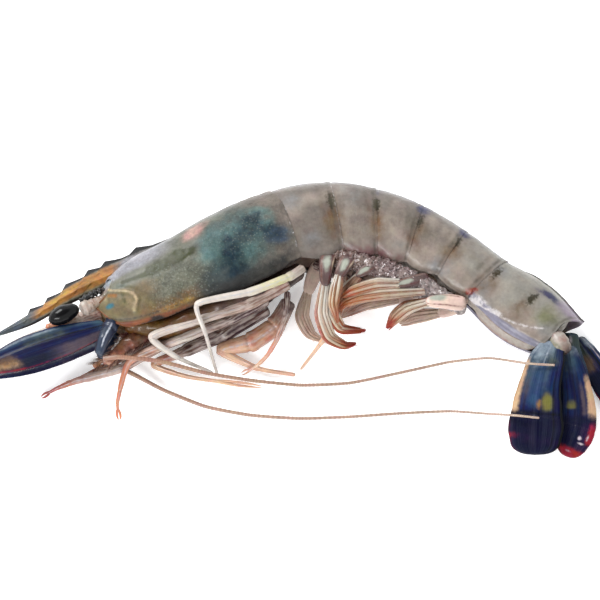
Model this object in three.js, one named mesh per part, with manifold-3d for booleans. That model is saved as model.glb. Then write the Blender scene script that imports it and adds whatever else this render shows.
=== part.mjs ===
// A whole raw tiger prawn, lying on its right side with its head towards -X and its back towards +Y.
// Millimetres, +Z up. The table is z = 0, and the origin is under the middle of the prawn's box.
import * as THREE from 'three';
import { mergeVertices } from 'three/addons/utils/BufferGeometryUtils.js';
import Module from 'manifold-3d';

const wasm = await Module();
wasm.setup();

// ---- Driving dimensions -------------------------------------------------------------------------
// Places are [x, y, z] before the last line moves the whole prawn over its origin by CENTRE.

const CENTRE = [2.53, -4.27]; // middle of the prawn's box
const SEAM = 0.3; // clear space between neighbouring pieces
const PLANE = 10.1; // height of the head's middle plane above the table

// The body's outline along its length: back line, belly line, half width, height of the middle plane.
// The middle plane is lower than the half width, so the body's weight presses a flat spot on its underside.
const STATIONS = [
  { back: [-57.5, 2.6], belly: [-57.5, -5.2], half: 4.4, mid: PLANE },
  { back: [-49.0, 11.2], belly: [-50.5, -9.2], half: 7.8, mid: PLANE },
  { back: [-38.0, 17.6], belly: [-39.0, -7.6], half: 9.7, mid: PLANE },
  { back: [-24.8, 25.5], belly: [-24.0, -1.2], half: 10.9, mid: PLANE },
  { back: [-9.6, 32.4], belly: [0.5, 10.6], half: 10.4, mid: 9.7 },
  { back: [7.5, 35.7], belly: [12.0, 12.4], half: 9.8, mid: 9.1 },
  { back: [20.7, 34.1], belly: [21.3, 12.2], half: 9.5, mid: 8.8 },
  { back: [34.5, 29.1], belly: [29.5, 10.2], half: 8.9, mid: 8.3 },
  { back: [47.0, 21.6], belly: [38.0, 6.8], half: 8.2, mid: 7.6 },
  { back: [58.3, 12.9], belly: [46.2, 1.0], half: 7.3, mid: 6.8 },
  { back: [70.0, 5.6], belly: [56.2, -8.6], half: 6.4, mid: 6.0 },
  { back: [79.8, -5.2], belly: [66.6, -14.0], half: 5.0, mid: 5.4 },
];
const CARAPACE_END = 4; // the station where the head shell ends
const SEGMENT_ENDS = [5, 6, 7, 8, 9, 11]; // the stations where the six tail segments end

// Half of a cross-section from back to belly: share of the half height, share of the half width.
const SECTION = [
  [1.0, 0.0], [0.93, 0.4], [0.72, 0.74], [0.36, 0.95], [-0.05, 1.0],
  [-0.45, 0.97], [-0.78, 0.84], [-0.98, 0.6], [-0.9, 0.4], [-0.8, 0.0],
];
const TUCK = 0.035; // how far a tail segment shrinks to slip under the one before it
const FLARE = 0.012; // how far its rear edge stands out
const LOBE = 0.12; // how far its side plates hang below the belly line
const CHEEK_DROP = 0.13; // how far the head shell's sides hang below it in front of the tail
const JOINT_GAP = 0.012; // half the gap between two of them, in stations

const ROSTRUM_TOP = [[-85.5, -10.1], [-71.5, -0.9], [-60.5, 7.5], [-46.5, 14.7], [-36, 19.3], [-27, 24.3]];
const ROSTRUM_FOOT = [[-85.5, -10.9], [-75, -7.2], [-66, -1.8], [-57, 2.8], [-50, 6], [-27, 19]];
const ROSTRUM_THICK = 1.7;
const TEETH = [-75.1, -70.3, -65.3, -59.4, -54.4, -45.7]; // the point of each tooth, along X
const TOOTH_HEIGHT = 1.05;
const TOOTH_LENGTH = 4.2;

// Half widths of a walking leg from hip to tip, and its half thickness as a share of them.
const LEG_HALF = [1.5, 1.45, 1.3, 1.1, 0.65, 0.4];
const LEG_DEPTH = 0.8;
const OWN_HALF = { // the legs that are thinner or stouter than the others
  left_leg_5: [1.3, 1.2, 1.1, 0.8, 0.55, 0.4],
  left_leg_2: [1, 0.95, 0.75, 0.6, 0.5, 0.35],
  right_leg_4: [2.2, 2.7, 2.7, 1.6, 0.7, 0.5],
  right_leg_3: [2.3, 2.4, 1.7, 1.1, 0.7, 0.5],
};

// Walking legs, counted from the head, each from hip to tip. Left ones lie on top, right ones on the table.
const LEGS = {
  left_leg_5: [[0.8, 8.4, 14], [-3, 4.6, 17.4], [-14, -0.3, 18.4], [-28.5, -3.9, 18.6], [-26.4, -11, 14.6],
    [-23.2, -18.6, 0.8]],
  left_leg_4: [[-3, 4, 13], [-14, -2.3, 14], [-28, -6.8, 13.6], [-41.2, -11.8, 13.4], [-34.5, -16.5, 10],
    [-24.5, -18.4, 1.8]],
  left_leg_3: [[-9, 0, 11], [-20, -6.2, 11.4], [-34, -11.7, 10.6], [-47.5, -17.1, 8], [-51, -27, 2.4],
    [-50.5, -32, 0.7]],
  left_leg_2: [[-3.5, 3, 10], [-4, -4, 9], [-6.3, -10.2, 7.8], [-9.2, -14.8, 6.2], [-12.4, -17.4, 4.4],
    [-16.5, -18.8, 2]],
  left_leg_1: [[-27, -4, 8.6], [-38, -12, 7.8], [-50.5, -18.5, 5.6], [-62.5, -21.5, 4], [-68.5, -23.5, 2.6],
    [-72.5, -25.5, 1.2]],
  right_leg_5: [[4, 12, 8], [9, 8.6, 9.6], [13.5, 5.8, 10.5], [10, -4.5, 8], [6, -10.5, 5],
    [0.1, -17.2, 0.8]],
  right_leg_4: [[-3, 2, 4.8], [-7, -5.2, 4.4], [-14, -10, 3.8], [-22, -12.2, 3.2], [-12, -17, 1.7],
    [-1.2, -18.7, 0.8]],
  right_leg_3: [[-9, 0, 5], [-22.5, -8, 4.2], [-33.5, -13, 3.4], [-41, -16.4, 2.8], [-31, -19.6, 1.6],
    [-10.5, -22.2, 0.7]],
  right_leg_2: [[-17, -1, 5], [-30, -8, 4.4], [-43, -13, 3.4], [-50, -16.6, 2.6], [-56, -19.4, 1.4]],
  right_leg_1: [[-27, -2, 5], [-40, -9.4, 4.2], [-52, -15.4, 2.8], [-61, -19.6, 1.8], [-66, -21.6, 1]],
};

// Swimmerets, counted from the head: a stout stem and one or two flat blades.
const SWIMMERETS = {
  left_swimmeret_1: {
    stem: [[8.4, 14, 13.5], [7.4, 9, 15.6], [7, 2.5, 15]],
    blades: [
      [[7, 4, 15], [5.9, -4.5, 12.6], [8.2, -10, 8.4], [12.5, -11.4, 5.2], [15.8, -10.4, 4]],
      [[7.8, 4, 14.6], [8.8, -3.5, 12], [11.6, -7.6, 8.4], [18.5, -7, 5]],
    ],
  },
  left_swimmeret_2: {
    stem: [[14.6, 13, 13.5], [12.6, 9, 16], [10.6, 4.4, 16.6]],
    blades: [[[11, 5.4, 16.6], [10.2, 1.5, 16.6], [9.4, -3, 15.2], [10.6, -7.4, 12.6]]],
  },
  left_swimmeret_3: {
    stem: [[22.5, 9.6, 14], [19.6, 8.2, 15.4], [15.6, 5.6, 15.2]],
    blades: [[[16.4, 5.8, 14.8], [13.4, 2.6, 12.8], [11, -1.2, 11.6], [10.8, -4, 10.6]]],
    slim: true,
  },
  left_swimmeret_4: {
    stem: [[36, 6.4, 12.8], [31.5, 4.4, 14.4], [26.5, 3, 14.8]],
    blades: [
      [[35, 1.6, 13.4], [28, 0.8, 14.2], [22.4, 0.3, 14.4], [16.8, -0.4, 14], [12.6, -1.6, 13],
        [10.4, -3.6, 12]],
      [[28, 3.4, 14.8], [21.5, 3.2, 14.8], [14.6, 1.2, 14.6], [11.5, -0.3, 14.2]],
    ],
    slim: true,
  },
  left_swimmeret_5: {
    stem: [[46.5, -1.5, 11.8], [41, -1.2, 13], [35, -1.2, 13]],
    blades: [[[36.5, -1.3, 13], [30, -2.6, 11.4], [26.5, -4.5, 8.6], [24.4, -6.6, 5.6]]],
  },
  right_swimmeret_1: {
    stem: [[6, 14, 4.6], [3.6, 9, 4.2], [2, 4, 4]],
    blades: [[[2.2, 5, 4], [0.6, -2, 3.2], [3, -7, 2], [8, -9, 1]]],
  },
  right_swimmeret_2: {
    stem: [[15, 14, 6.4], [12, 9, 6.2], [9.4, 4.5, 6]],
    blades: [[[9.8, 5.4, 6], [8, 0, 5.4], [7.4, -2.6, 4.8]]],
  },
  right_swimmeret_3: {
    stem: [[26, 13, 6.2], [21, 8.6, 6.4], [16.4, 5.4, 6.4]],
    blades: [[[17.2, 5.8, 6.4], [13.6, 2, 5.8], [11.6, -1, 5.2]]],
  },
  right_swimmeret_4: {
    stem: [[38, 9, 5], [33, 4.6, 3.8], [27.6, 2.6, 3.2]],
    blades: [[[28.6, 3, 3.2], [18, 1.5, 2.4], [11, -1.5, 1.3]]],
  },
  right_swimmeret_5: {
    stem: [[47, 5, 4.6], [43.4, 0.6, 3.6], [38.6, -1.4, 3]],
    blades: [[[39.6, -1.2, 3], [32, -2, 2], [28, -3.5, 1]]],
  },
};
const STEM = { half: [2.2, 2.3, 1.5], thick: [1.6, 1.5, 1.0] };
const SLIM_STEM = { half: [1.3, 1.6, 1.2], thick: [1.1, 1.2, 0.9] };
const BLADE = { half: [1.2, 1.7, 1.3, 0.5], thick: [0.55, 0.5, 0.4, 0.3] };

// Antennae from the elbow of their base to the tip, one sweeping close to the body and one further out.
const ANTENNAE = {
  left_antenna: [[-54.8, -18.4, 14.2], [-50, -17.8, 13.5], [-39, -18, 10.5], [-26.5, -20, 6.5], [-14, -21, 3],
    [0, -21.7, 0.8], [14, -21, 0.7], [28, -18, 0.7], [42, -15, 1.2], [53, -15, 4.6], [63.5, -18.6, 10.4],
    [71, -19.3, 11]],
  right_antenna: [[-55, -16.6, 6.6], [-51, -17.6, 5], [-45, -20.2, 3.2], [-38, -23.5, 1.5], [-26.5, -28, 0.8],
    [-14, -30.5, 0.7], [0, -31.5, 0.7], [14, -31, 0.7], [28, -30, 0.7], [42, -29.5, 1], [52, -31, 3.4],
    [60, -33, 7.8], [66.5, -34, 8.6]],
};
const ANTENNA_HALF = [0.72, 0.54, 0.44, 0.38, 0.32];
const ANTENNA_STEPS = 44;

// What carries the eyes and antennae: a route with half widths and half thicknesses along it.
const EYESTALK = { half: [1.5, 1.7, 2], thick: [1.4, 1.5, 1.8] };
const EYE = { half: [4.6, 2.6, 2.8], turn: 0.5 };
const ANTENNA_BASE = { half: [2.1, 2.1, 1.7, 1.3], thick: [2, 2.1, 1.7, 1.3], sides: 8, steps: 8 };
const SCALE_HALF = [2.4, 4, 4.8, 4.4, 2.2];
const ANTENNULE_BASE = { half: [1.6, 1.7, 1.2], thick: [1, 1.1, 0.9] };
const ANTENNULE_WHIP = { half: [0.8, 0.6, 0.3], thick: [0.7, 0.5, 0.3] };
const HEAD = {
  left: {
    eyestalk: [[-54, 0, 12.6], [-58, -2.6, 14.2], [-61, -4.4, 15.4]],
    eye: [-65.8, -6, 16],
    antennaBase: [[-52, -6, 14], [-53, -9.4, 15.2], [-54.6, -13.4, 16], [-56, -17.6, 14.8]],
    scale: [[-54, -9.2, 14.2], [-64, -12.8, 14.8], [-76, -16.8, 14.2], [-88, -20.7, 12.4]],
    antennule: [[-55, -3.4, 11.8], [-62, -5.8, 11.9], [-71, -8.8, 11.8]],
    whip: [[-70, -8.5, 11.8], [-79, -12.6, 11.6], [-89, -18.4, 10.6]],
  },
  right: {
    eyestalk: [[-54, 0, 7.6], [-58, -2.4, 6], [-61, -4.2, 4.8]],
    eye: [-65.8, -5.8, 4.2],
    antennaBase: [[-52, -5, 6.2], [-53, -9, 6], [-54.6, -12.4, 6.4], [-56, -15.8, 6.6]],
    scale: [[-54, -9, 6.2], [-64, -11.6, 5.8], [-76, -15.6, 5.2], [-88, -19.5, 4]],
    antennule: [[-55, -3, 8.2], [-62, -7, 8.2], [-71, -10, 8.4]],
    whip: [[-70, -9.6, 8.4], [-80, -14, 8.2], [-88, -18, 7.4]],
  },
};
const JAW_FEET = {
  left_jaw_foot: { route: [[-34, -4, 10.4], [-42.6, -9, 10], [-48, -12.8, 10.8], [-54, -18, 8.6]],
    half: [2, 2.4, 2.2, 0.8], thick: [1.2, 1.3, 1.2, 0.6] },
  right_jaw_foot: { route: [[-34, -5, 7.4], [-42, -9, 7], [-50, -12.4, 5.8], [-58, -17.4, 4.2]],
    half: [1.3, 1.3, 1.1, 0.6], thick: [0.9, 0.9, 0.8, 0.5] },
};
const UNDERSIDE = {
  route: [[-49, -7.4, PLANE], [-37.5, -8.2, PLANE], [-24, -3.4, PLANE], [-11, 2.2, PLANE], [1, 9.8, PLANE]],
  half: [2.4, 3, 3.2, 3.2, 2],
  thick: [3.2, 4.2, 4.6, 4.8, 3.6],
  sides: 12,
};

// The tail fan: two round joints, the pointed telson between them, and two paddles on each joint.
const FAN_BASE = { half: [3.8, 2.8, 2.5], turn: -0.9 };
const FAN_BASES = { left_fan_base: [72.6, -11.8, 8.8], right_fan_base: [75, -10.6, 3] };
const INNER_HALF = [2, 3.2, 4.2, 4.9, 5.3, 5, 3.2];
const FAN_BLADES = {
  telson: { route: [[74.4, -8, 6], [76, -22, 4.9], [77.5, -38.5, 3]], half: [3.6, 3, 0.8] },
  left_outer_fan: {
    route: [[71, -12, 9.8], [68.4, -18.5, 9.4], [66.5, -26, 8], [65.7, -34, 6.2], [65.3, -43.8, 4.2]],
    half: [3.2, 4.8, 5.5, 6.2, 7.1, 7.8, 6.4],
    lean: [0.1, 0.2],
  },
  left_inner_fan: {
    route: [[75, -12.6, 8], [76.2, -20, 7], [77.4, -28.6, 5.6], [77, -36.3, 4.5], [74, -43.8, 3]],
    half: INNER_HALF,
  },
  right_inner_fan: {
    route: [[76.4, -11, 4.2], [77.2, -20, 3.4], [77.4, -29, 2.4], [76.8, -36, 1.8], [75.2, -42.8, 1]],
    half: INNER_HALF,
  },
  right_outer_fan: {
    route: [[77.4, -8.6, 2.8], [81.2, -14.2, 2.2], [85, -20, 1.5], [88.6, -25.6, 1], [91.8, -31, 0.7]],
    half: [2.4, 3.2, 3.6, 4, 4.4, 4.4, 2.8],
  },
};
const BLADE_THICK = 0.42; // half thickness of the fan's paddles and of the antennae's scales

// ---- Shapes -------------------------------------------------------------------------------------

const UP = new THREE.Vector3(0, 0, 1);
const vector = ([x, y, z]) => new THREE.Vector3(x, y, z);

// A geometry as a solid that can be joined and cut, turned right side out.
function solidOf(geometry) {
  const bare = geometry.index ? geometry.toNonIndexed() : geometry;
  bare.deleteAttribute('normal');
  bare.deleteAttribute('uv');
  const merged = mergeVertices(bare, 1e-4);
  const vertProperties = merged.getAttribute('position').array;
  const triVerts = new Uint32Array(merged.index.array);
  const solid = new wasm.Manifold(new wasm.Mesh({ numProp: 3, vertProperties, triVerts }));
  if (solid.volume() > 0) return solid;
  triVerts.reverse();
  return new wasm.Manifold(new wasm.Mesh({ numProp: 3, vertProperties, triVerts }));
}

// A unit cylinder moved to place(t, angle, r): t runs along it, and r is 0 in the middle of an end.
function bent(sides, steps, place) {
  const geometry = new THREE.CylinderGeometry(1, 1, 1, sides, steps);
  const position = geometry.getAttribute('position');
  const corner = new THREE.Vector3();
  for (let i = 0; i < position.count; i++) {
    corner.fromBufferAttribute(position, i);
    const point = place(0.5 - corner.y, Math.atan2(corner.x, corner.z), Math.hypot(corner.x, corner.z));
    position.setXYZ(i, point.x, point.y, Math.max(point.z, 0));
  }
  return solidOf(geometry);
}

// The value at share t along a list of evenly spaced values, on a smooth curve.
function along(values, t) {
  const curve = new THREE.SplineCurve(values.map((value, i) => new THREE.Vector2(i, value)));
  return curve.getPoint(t).y;
}

// A tapered limb along a route: half widths lie level, half thicknesses face up, unless it leans (radians).
function limb({ route, half, thick, lean = [0, 0], sides = 6, steps = 3 * (route.length - 1) }) {
  const curve = new THREE.CatmullRomCurve3(route.map(vector), false, 'catmullrom', 0.3);
  return (grow = 0) => bent(sides, steps, (t, angle, r) => {
    const tangent = curve.getTangent(t);
    const across = new THREE.Vector3().crossVectors(UP, tangent).normalize();
    across.applyAxisAngle(tangent, along(lean, t));
    const normal = new THREE.Vector3().crossVectors(tangent, across);
    const beyond = grow * (t === 1) - grow * (t === 0);
    return curve.getPoint(t)
      .addScaledVector(tangent, beyond)
      .addScaledVector(across, r * Math.sin(angle) * (along(half, t) + grow))
      .addScaledVector(normal, r * Math.cos(angle) * (along(thick, t) + grow));
  });
}

// An egg with three half lengths, its long axis turned about Z.
function egg(centre, [a, b, c], turn = 0) {
  return (grow = 0) => {
    const geometry = new THREE.SphereGeometry(1, 12, 8);
    geometry.scale(a + grow, b + grow, c + grow).rotateZ(turn).translate(...centre);
    return solidOf(geometry);
  };
}

const backLine = new THREE.CatmullRomCurve3(STATIONS.map((s) => new THREE.Vector3(...s.back, s.mid)));
const bellyLine = new THREE.CatmullRomCurve3(STATIONS.map((s) => new THREE.Vector3(...s.belly, s.mid)));
const sectionLine = new THREE.SplineCurve(SECTION.map(([h, w]) => new THREE.Vector2(h, w)));
const halfWidths = STATIONS.map((s) => s.half);

// The body between two stations. size(t) scales the cross-sections, and hang(t) lowers the side plates.
function body(from, to, { sides = 18, steps = 5, size = () => 1, hang = () => 0 } = {}) {
  return (grow = 0) => bent(sides, steps, (t, angle, r) => {
    const station = (from + (to - from) * t) / (STATIONS.length - 1);
    const back = backLine.getPoint(station);
    const belly = bellyLine.getPoint(station);
    const middle = back.clone().add(belly).multiplyScalar(0.5);
    const height = back.clone().sub(belly).multiplyScalar(0.5);
    const { x: h, y: w } = sectionLine.getPoint(Math.abs(angle) / Math.PI);
    const droop = h < 0 ? 1 + hang(t) : 1;
    const tall = r * h * droop * (size(t) + grow / height.length());
    const wide = r * w * (along(halfWidths, station) * size(t) + grow);
    return middle.addScaledVector(height, tall).addScaledVector(UP, Math.sign(angle) * wide);
  });
}

// ---- The prawn's pieces -------------------------------------------------------------------------

// The saw-toothed blade over the head: a flat plate in the middle plane, its teeth leaning forwards.
function rostrum(grow) {
  const points = (list) => list.map(([x, y]) => new THREE.Vector2(x, y));
  const top = new THREE.SplineCurve(points(ROSTRUM_TOP));
  const foot = new THREE.SplineCurve(points(ROSTRUM_FOOT));
  const outline = top.getPoints(60).map(({ x, y }) => {
    const tooth = TEETH.find((point) => x >= point && x < point + TOOTH_LENGTH);
    const rise = tooth === undefined ? 0 : 1 - (x - tooth) / TOOTH_LENGTH;
    return new THREE.Vector2(x - 0.5 * rise, y + TOOTH_HEIGHT * rise);
  });
  const shape = new THREE.Shape([...outline, ...foot.getPoints(14).reverse()]);
  const depth = ROSTRUM_THICK + 2 * grow;
  const plate = new THREE.ExtrudeGeometry(shape, { depth, bevelEnabled: false });
  return solidOf(plate.translate(0, 0, PLANE - depth / 2));
}

const { smoothstep } = THREE.MathUtils;
const cheeks = (t) => CHEEK_DROP * smoothstep(t, 0.62, 0.8) * (1 - smoothstep(t, 0.9, 1));
const lobes = (t) => LOBE * Math.sin(Math.PI * t);

// A tail segment's shell slips under the one before it, and its rear edge stands out a little.
const tucked = (t) => 1 - TUCK * (1 - smoothstep(t, 0, 0.22)) + FLARE * smoothstep(t, 0.8, 1);

// Several limbs grown together.
const joined = (...makers) => (grow = 0) => makers.map((make) => make(grow)).reduce((a, b) => a.add(b));

// A leg's list of half widths ends at its tip, so a leg with fewer points starts thinner.
function leg(route, name) {
  const half = OWN_HALF[name] ?? LEG_HALF.slice(-route.length);
  return limb({ route, half, thick: half.map((value) => value * LEG_DEPTH) });
}

function swimmeret({ stem, blades, slim }) {
  const paddles = blades.map((route) => limb({ route, ...BLADE, steps: 7 }));
  return joined(limb({ route: stem, ...(slim ? SLIM_STEM : STEM) }), ...paddles);
}

// A flat paddle of even thickness.
const paddle = ({ route, half, lean }) =>
  limb({ route, half, lean, thick: half.map(() => BLADE_THICK), sides: 8, steps: 10 });

const SHELL = { color: 0x8c8a7c, roughness: 0.25 };
const FLESH = { color: 0xc9b7a2, roughness: 0.4 };
const LEG = { color: 0xc79f86, roughness: 0.35 };
const FAN = { color: 0x2c3550, roughness: 0.3 };
const ANTENNA = { color: 0xb08a76, roughness: 0.4 };
const EYE_BLACK = { color: 0x0b0b0c, roughness: 0.08 };

// The tail's six ring-shaped segments. The last one has no side plates.
function tailSegments() {
  return SEGMENT_ENDS.map((end, i) => {
    const start = i ? SEGMENT_ENDS[i - 1] : CARAPACE_END;
    const last = i === SEGMENT_ENDS.length - 1;
    const shape = { size: tucked, hang: last ? () => 0 : lobes, steps: last ? 7 : 6 };
    return [`tail_segment_${i + 1}`, SHELL, body(start + JOINT_GAP, end - JOINT_GAP, shape)];
  });
}

// The eye, antenna base, scale and antennule of one side.
function headSide(side) {
  const { eyestalk, eye, antennaBase, scale, antennule, whip } = HEAD[side];
  const scaleLean = side === 'left' ? -0.2 : 0.2;
  return [
    [`${side}_eyestalk`, FLESH, limb({ route: eyestalk, ...EYESTALK })],
    [`${side}_eye`, EYE_BLACK, egg(eye, EYE.half, EYE.turn)],
    [`${side}_antenna_base`, LEG, limb({ route: antennaBase, ...ANTENNA_BASE })],
    [`${side}_antenna_scale`, FAN, paddle({ route: scale, half: SCALE_HALF, lean: [0, scaleLean] })],
    [`${side}_antennule`, LEG, joined(limb({ route: antennule, ...ANTENNULE_BASE }),
      limb({ route: whip, ...ANTENNULE_WHIP }))],
  ];
}

// One piece for each entry of a list of shapes.
const each = (shapes, look, make) =>
  Object.entries(shapes).map(([name, shape]) => [name, look, make(shape, name)]);

// Each piece is cut back from the pieces before it in this list.
const PIECES = [
  ['carapace', SHELL, joined(body(0, CARAPACE_END - JOINT_GAP, { sides: 22, steps: 14, hang: cheeks }), rostrum)],
  ...tailSegments(),
  ['thorax_underside', FLESH, limb(UNDERSIDE)],
  ...headSide('left'),
  ...headSide('right'),
  ...each(ANTENNAE, ANTENNA, (route) =>
    limb({ route, half: ANTENNA_HALF, thick: ANTENNA_HALF, steps: ANTENNA_STEPS })),
  ...each(LEGS, LEG, leg),
  ...each(JAW_FEET, LEG, limb),
  ...each(SWIMMERETS, FLESH, swimmeret),
  ...each(FAN_BASES, FLESH, (centre) => egg(centre, FAN_BASE.half, FAN_BASE.turn)),
  ...each(FAN_BLADES, FAN, paddle),
];

// ---- Assembly -----------------------------------------------------------------------------------

const boxesMeet = (a, b) => a.min.every((low, i) => low < b.max[i] && b.min[i] < a.max[i]);
const largest = (solid) => solid.decompose().reduce((a, b) => (a.volume() > b.volume() ? a : b));

const prawn = new THREE.Group();
const earlier = [];
for (const [name, look, make] of PIECES) {
  let solid = make();
  for (const piece of earlier.filter((other) => boxesMeet(other.box, solid.boundingBox()))) {
    piece.swollen ??= piece.make(SEAM);
    solid = solid.subtract(piece.swollen);
  }
  solid = largest(solid);
  earlier.push({ make, box: make(SEAM).boundingBox() });
  const { vertProperties, triVerts } = solid.getMesh();
  const geometry = new THREE.BufferGeometry();
  geometry.setAttribute('position', new THREE.BufferAttribute(vertProperties, 3));
  geometry.setIndex(new THREE.BufferAttribute(triVerts, 1));
  geometry.computeVertexNormals();
  const mesh = new THREE.Mesh(geometry, new THREE.MeshStandardMaterial({ ...look, metalness: 0 }));
  mesh.name = name;
  prawn.add(mesh);
}
prawn.position.set(-CENTRE[0], -CENTRE[1], 0);

export default prawn;
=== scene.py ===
"""A whole raw tiger prawn, wet and uncooked, lying on its right side on a white table.

The head points towards -X and the back towards +Y. Places and sizes are written in millimetres, and `piece`
turns them into metres over the table's origin. The left limbs lie on top and the right ones on the table.
"""

import itertools
import math

import bpy
import numpy as np
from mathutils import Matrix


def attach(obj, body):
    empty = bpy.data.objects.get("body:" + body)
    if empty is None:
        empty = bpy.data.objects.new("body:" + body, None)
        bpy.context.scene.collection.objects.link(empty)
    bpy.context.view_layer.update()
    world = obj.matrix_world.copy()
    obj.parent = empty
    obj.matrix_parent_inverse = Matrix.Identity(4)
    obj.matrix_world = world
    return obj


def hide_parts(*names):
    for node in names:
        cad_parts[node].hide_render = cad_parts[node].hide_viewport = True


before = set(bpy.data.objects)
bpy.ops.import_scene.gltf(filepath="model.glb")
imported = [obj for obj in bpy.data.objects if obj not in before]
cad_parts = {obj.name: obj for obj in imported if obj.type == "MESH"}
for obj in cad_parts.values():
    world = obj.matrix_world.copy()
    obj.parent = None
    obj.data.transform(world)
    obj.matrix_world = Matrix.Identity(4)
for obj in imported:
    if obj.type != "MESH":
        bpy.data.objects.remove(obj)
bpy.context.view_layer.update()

# ---- Measures, the same as the solids' -----------------------------------------------------------

MM = 0.001
CENTRE = np.array([2.53, -4.27, 0.0])  # the middle of the prawn's box, which goes over the table's origin
UP = np.array([0.0, 0.0, 1.0])
PLANE = 10.1  # height of the head's middle plane

# The body at each station along it: back line x and y, belly line x and y, half width, middle plane.
STATIONS = np.array([
    [-57.5, 2.6, -57.5, -5.2, 4.4, PLANE],
    [-49.0, 11.2, -50.5, -9.2, 7.8, PLANE],
    [-38.0, 17.6, -39.0, -7.6, 9.7, PLANE],
    [-24.8, 25.5, -24.0, -1.2, 10.9, PLANE],
    [-9.6, 32.4, 0.5, 10.6, 10.4, 9.7],
    [7.5, 35.7, 12.0, 12.4, 9.8, 9.1],
    [20.7, 34.1, 21.3, 12.2, 9.5, 8.8],
    [34.5, 29.1, 29.5, 10.2, 8.9, 8.3],
    [47.0, 21.6, 38.0, 6.8, 8.2, 7.6],
    [58.3, 12.9, 46.2, 1.0, 7.3, 6.8],
    [70.0, 5.6, 56.2, -8.6, 6.4, 6.0],
    [79.8, -5.2, 66.6, -14.0, 5.0, 5.4],
])
BACK = STATIONS[:, [0, 1, 5]]
BELLY = STATIONS[:, [2, 3, 5]]
HALF = STATIONS[:, 4]
LAST_STATION = len(STATIONS) - 1
CARAPACE_END = 4
SEGMENT_ENDS = [5, 6, 7, 8, 9, 11]

# Half of a cross-section from back to belly: share of the half height, share of the half width.
SECTION = [
    [1.0, 0.0], [0.93, 0.4], [0.72, 0.74], [0.36, 0.95], [-0.05, 1.0],
    [-0.45, 0.97], [-0.78, 0.84], [-0.98, 0.6], [-0.9, 0.4], [-0.8, 0.0],
]
RIM = 0.79  # how far round, from back to belly, the shells reach before they are open

ROSTRUM_TOP = [[-85.5, -10.1], [-71.5, -0.9], [-60.5, 7.5], [-46.5, 14.7], [-36, 19.3], [-27, 24.3]]
ROSTRUM_FOOT = [[-85.5, -10.9], [-75, -7.2], [-66, -1.8], [-57, 2.8], [-50, 6], [-27, 19]]
TEETH = [-75.1, -70.3, -65.3, -59.4, -54.4, -45.7]
TOOTH_HEIGHT = 1.05
TOOTH_LENGTH = 4.2
TOOTH_START = -1e-6  # just in front of a tooth's tip, so that the point at the tip rises too
TOOTH_EDGE = 0.0012  # share of the rostrum's length over which a tooth's steep front falls

LEG_HALF = [1.5, 1.45, 1.3, 1.1, 0.65, 0.4]
LEG_DEPTH = 0.8
OWN_HALF = {
    "left_leg_5": [1.3, 1.2, 1.1, 0.8, 0.55, 0.4],
    "left_leg_2": [1, 0.95, 0.75, 0.6, 0.5, 0.35],
    "right_leg_4": [2.2, 2.7, 2.7, 1.6, 0.7, 0.5],
    "right_leg_3": [2.3, 2.4, 1.7, 1.1, 0.7, 0.5],
}
LEGS = {
    "left_leg_5": [[0.8, 8.4, 14], [-3, 4.6, 17.4], [-14, -0.3, 18.4], [-28.5, -3.9, 18.6],
                   [-26.4, -11, 14.6], [-23.2, -18.6, 0.8]],
    "left_leg_4": [[-3, 4, 13], [-14, -2.3, 14], [-28, -6.8, 13.6], [-41.2, -11.8, 13.4], [-34.5, -16.5, 10],
                   [-24.5, -18.4, 1.8]],
    "left_leg_3": [[-9, 0, 11], [-20, -6.2, 11.4], [-34, -11.7, 10.6], [-47.5, -17.1, 8], [-51, -27, 2.4],
                   [-50.5, -32, 0.7]],
    "left_leg_2": [[-3.5, 3, 10], [-4, -4, 9], [-6.3, -10.2, 7.8], [-9.2, -14.8, 6.2], [-12.4, -17.4, 4.4],
                   [-16.5, -18.8, 2]],
    "left_leg_1": [[-27, -4, 8.6], [-38, -12, 7.8], [-50.5, -18.5, 5.6], [-62.5, -21.5, 4],
                   [-68.5, -23.5, 2.6], [-72.5, -25.5, 1.2]],
    "right_leg_5": [[4, 12, 8], [9, 8.6, 9.6], [13.5, 5.8, 10.5], [10, -4.5, 8], [6, -10.5, 5],
                    [0.1, -17.2, 0.8]],
    "right_leg_4": [[-3, 2, 4.8], [-7, -5.2, 4.4], [-14, -10, 3.8], [-22, -12.2, 3.2], [-12, -17, 1.7],
                    [-1.2, -18.7, 0.8]],
    "right_leg_3": [[-9, 0, 5], [-22.5, -8, 4.2], [-33.5, -13, 3.4], [-41, -16.4, 2.8], [-31, -19.6, 1.6],
                    [-10.5, -22.2, 0.7]],
    "right_leg_2": [[-17, -1, 5], [-30, -8, 4.4], [-43, -13, 3.4], [-50, -16.6, 2.6], [-56, -19.4, 1.4]],
    "right_leg_1": [[-27, -2, 5], [-40, -9.4, 4.2], [-52, -15.4, 2.8], [-61, -19.6, 1.8], [-66, -21.6, 1]],
}

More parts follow.
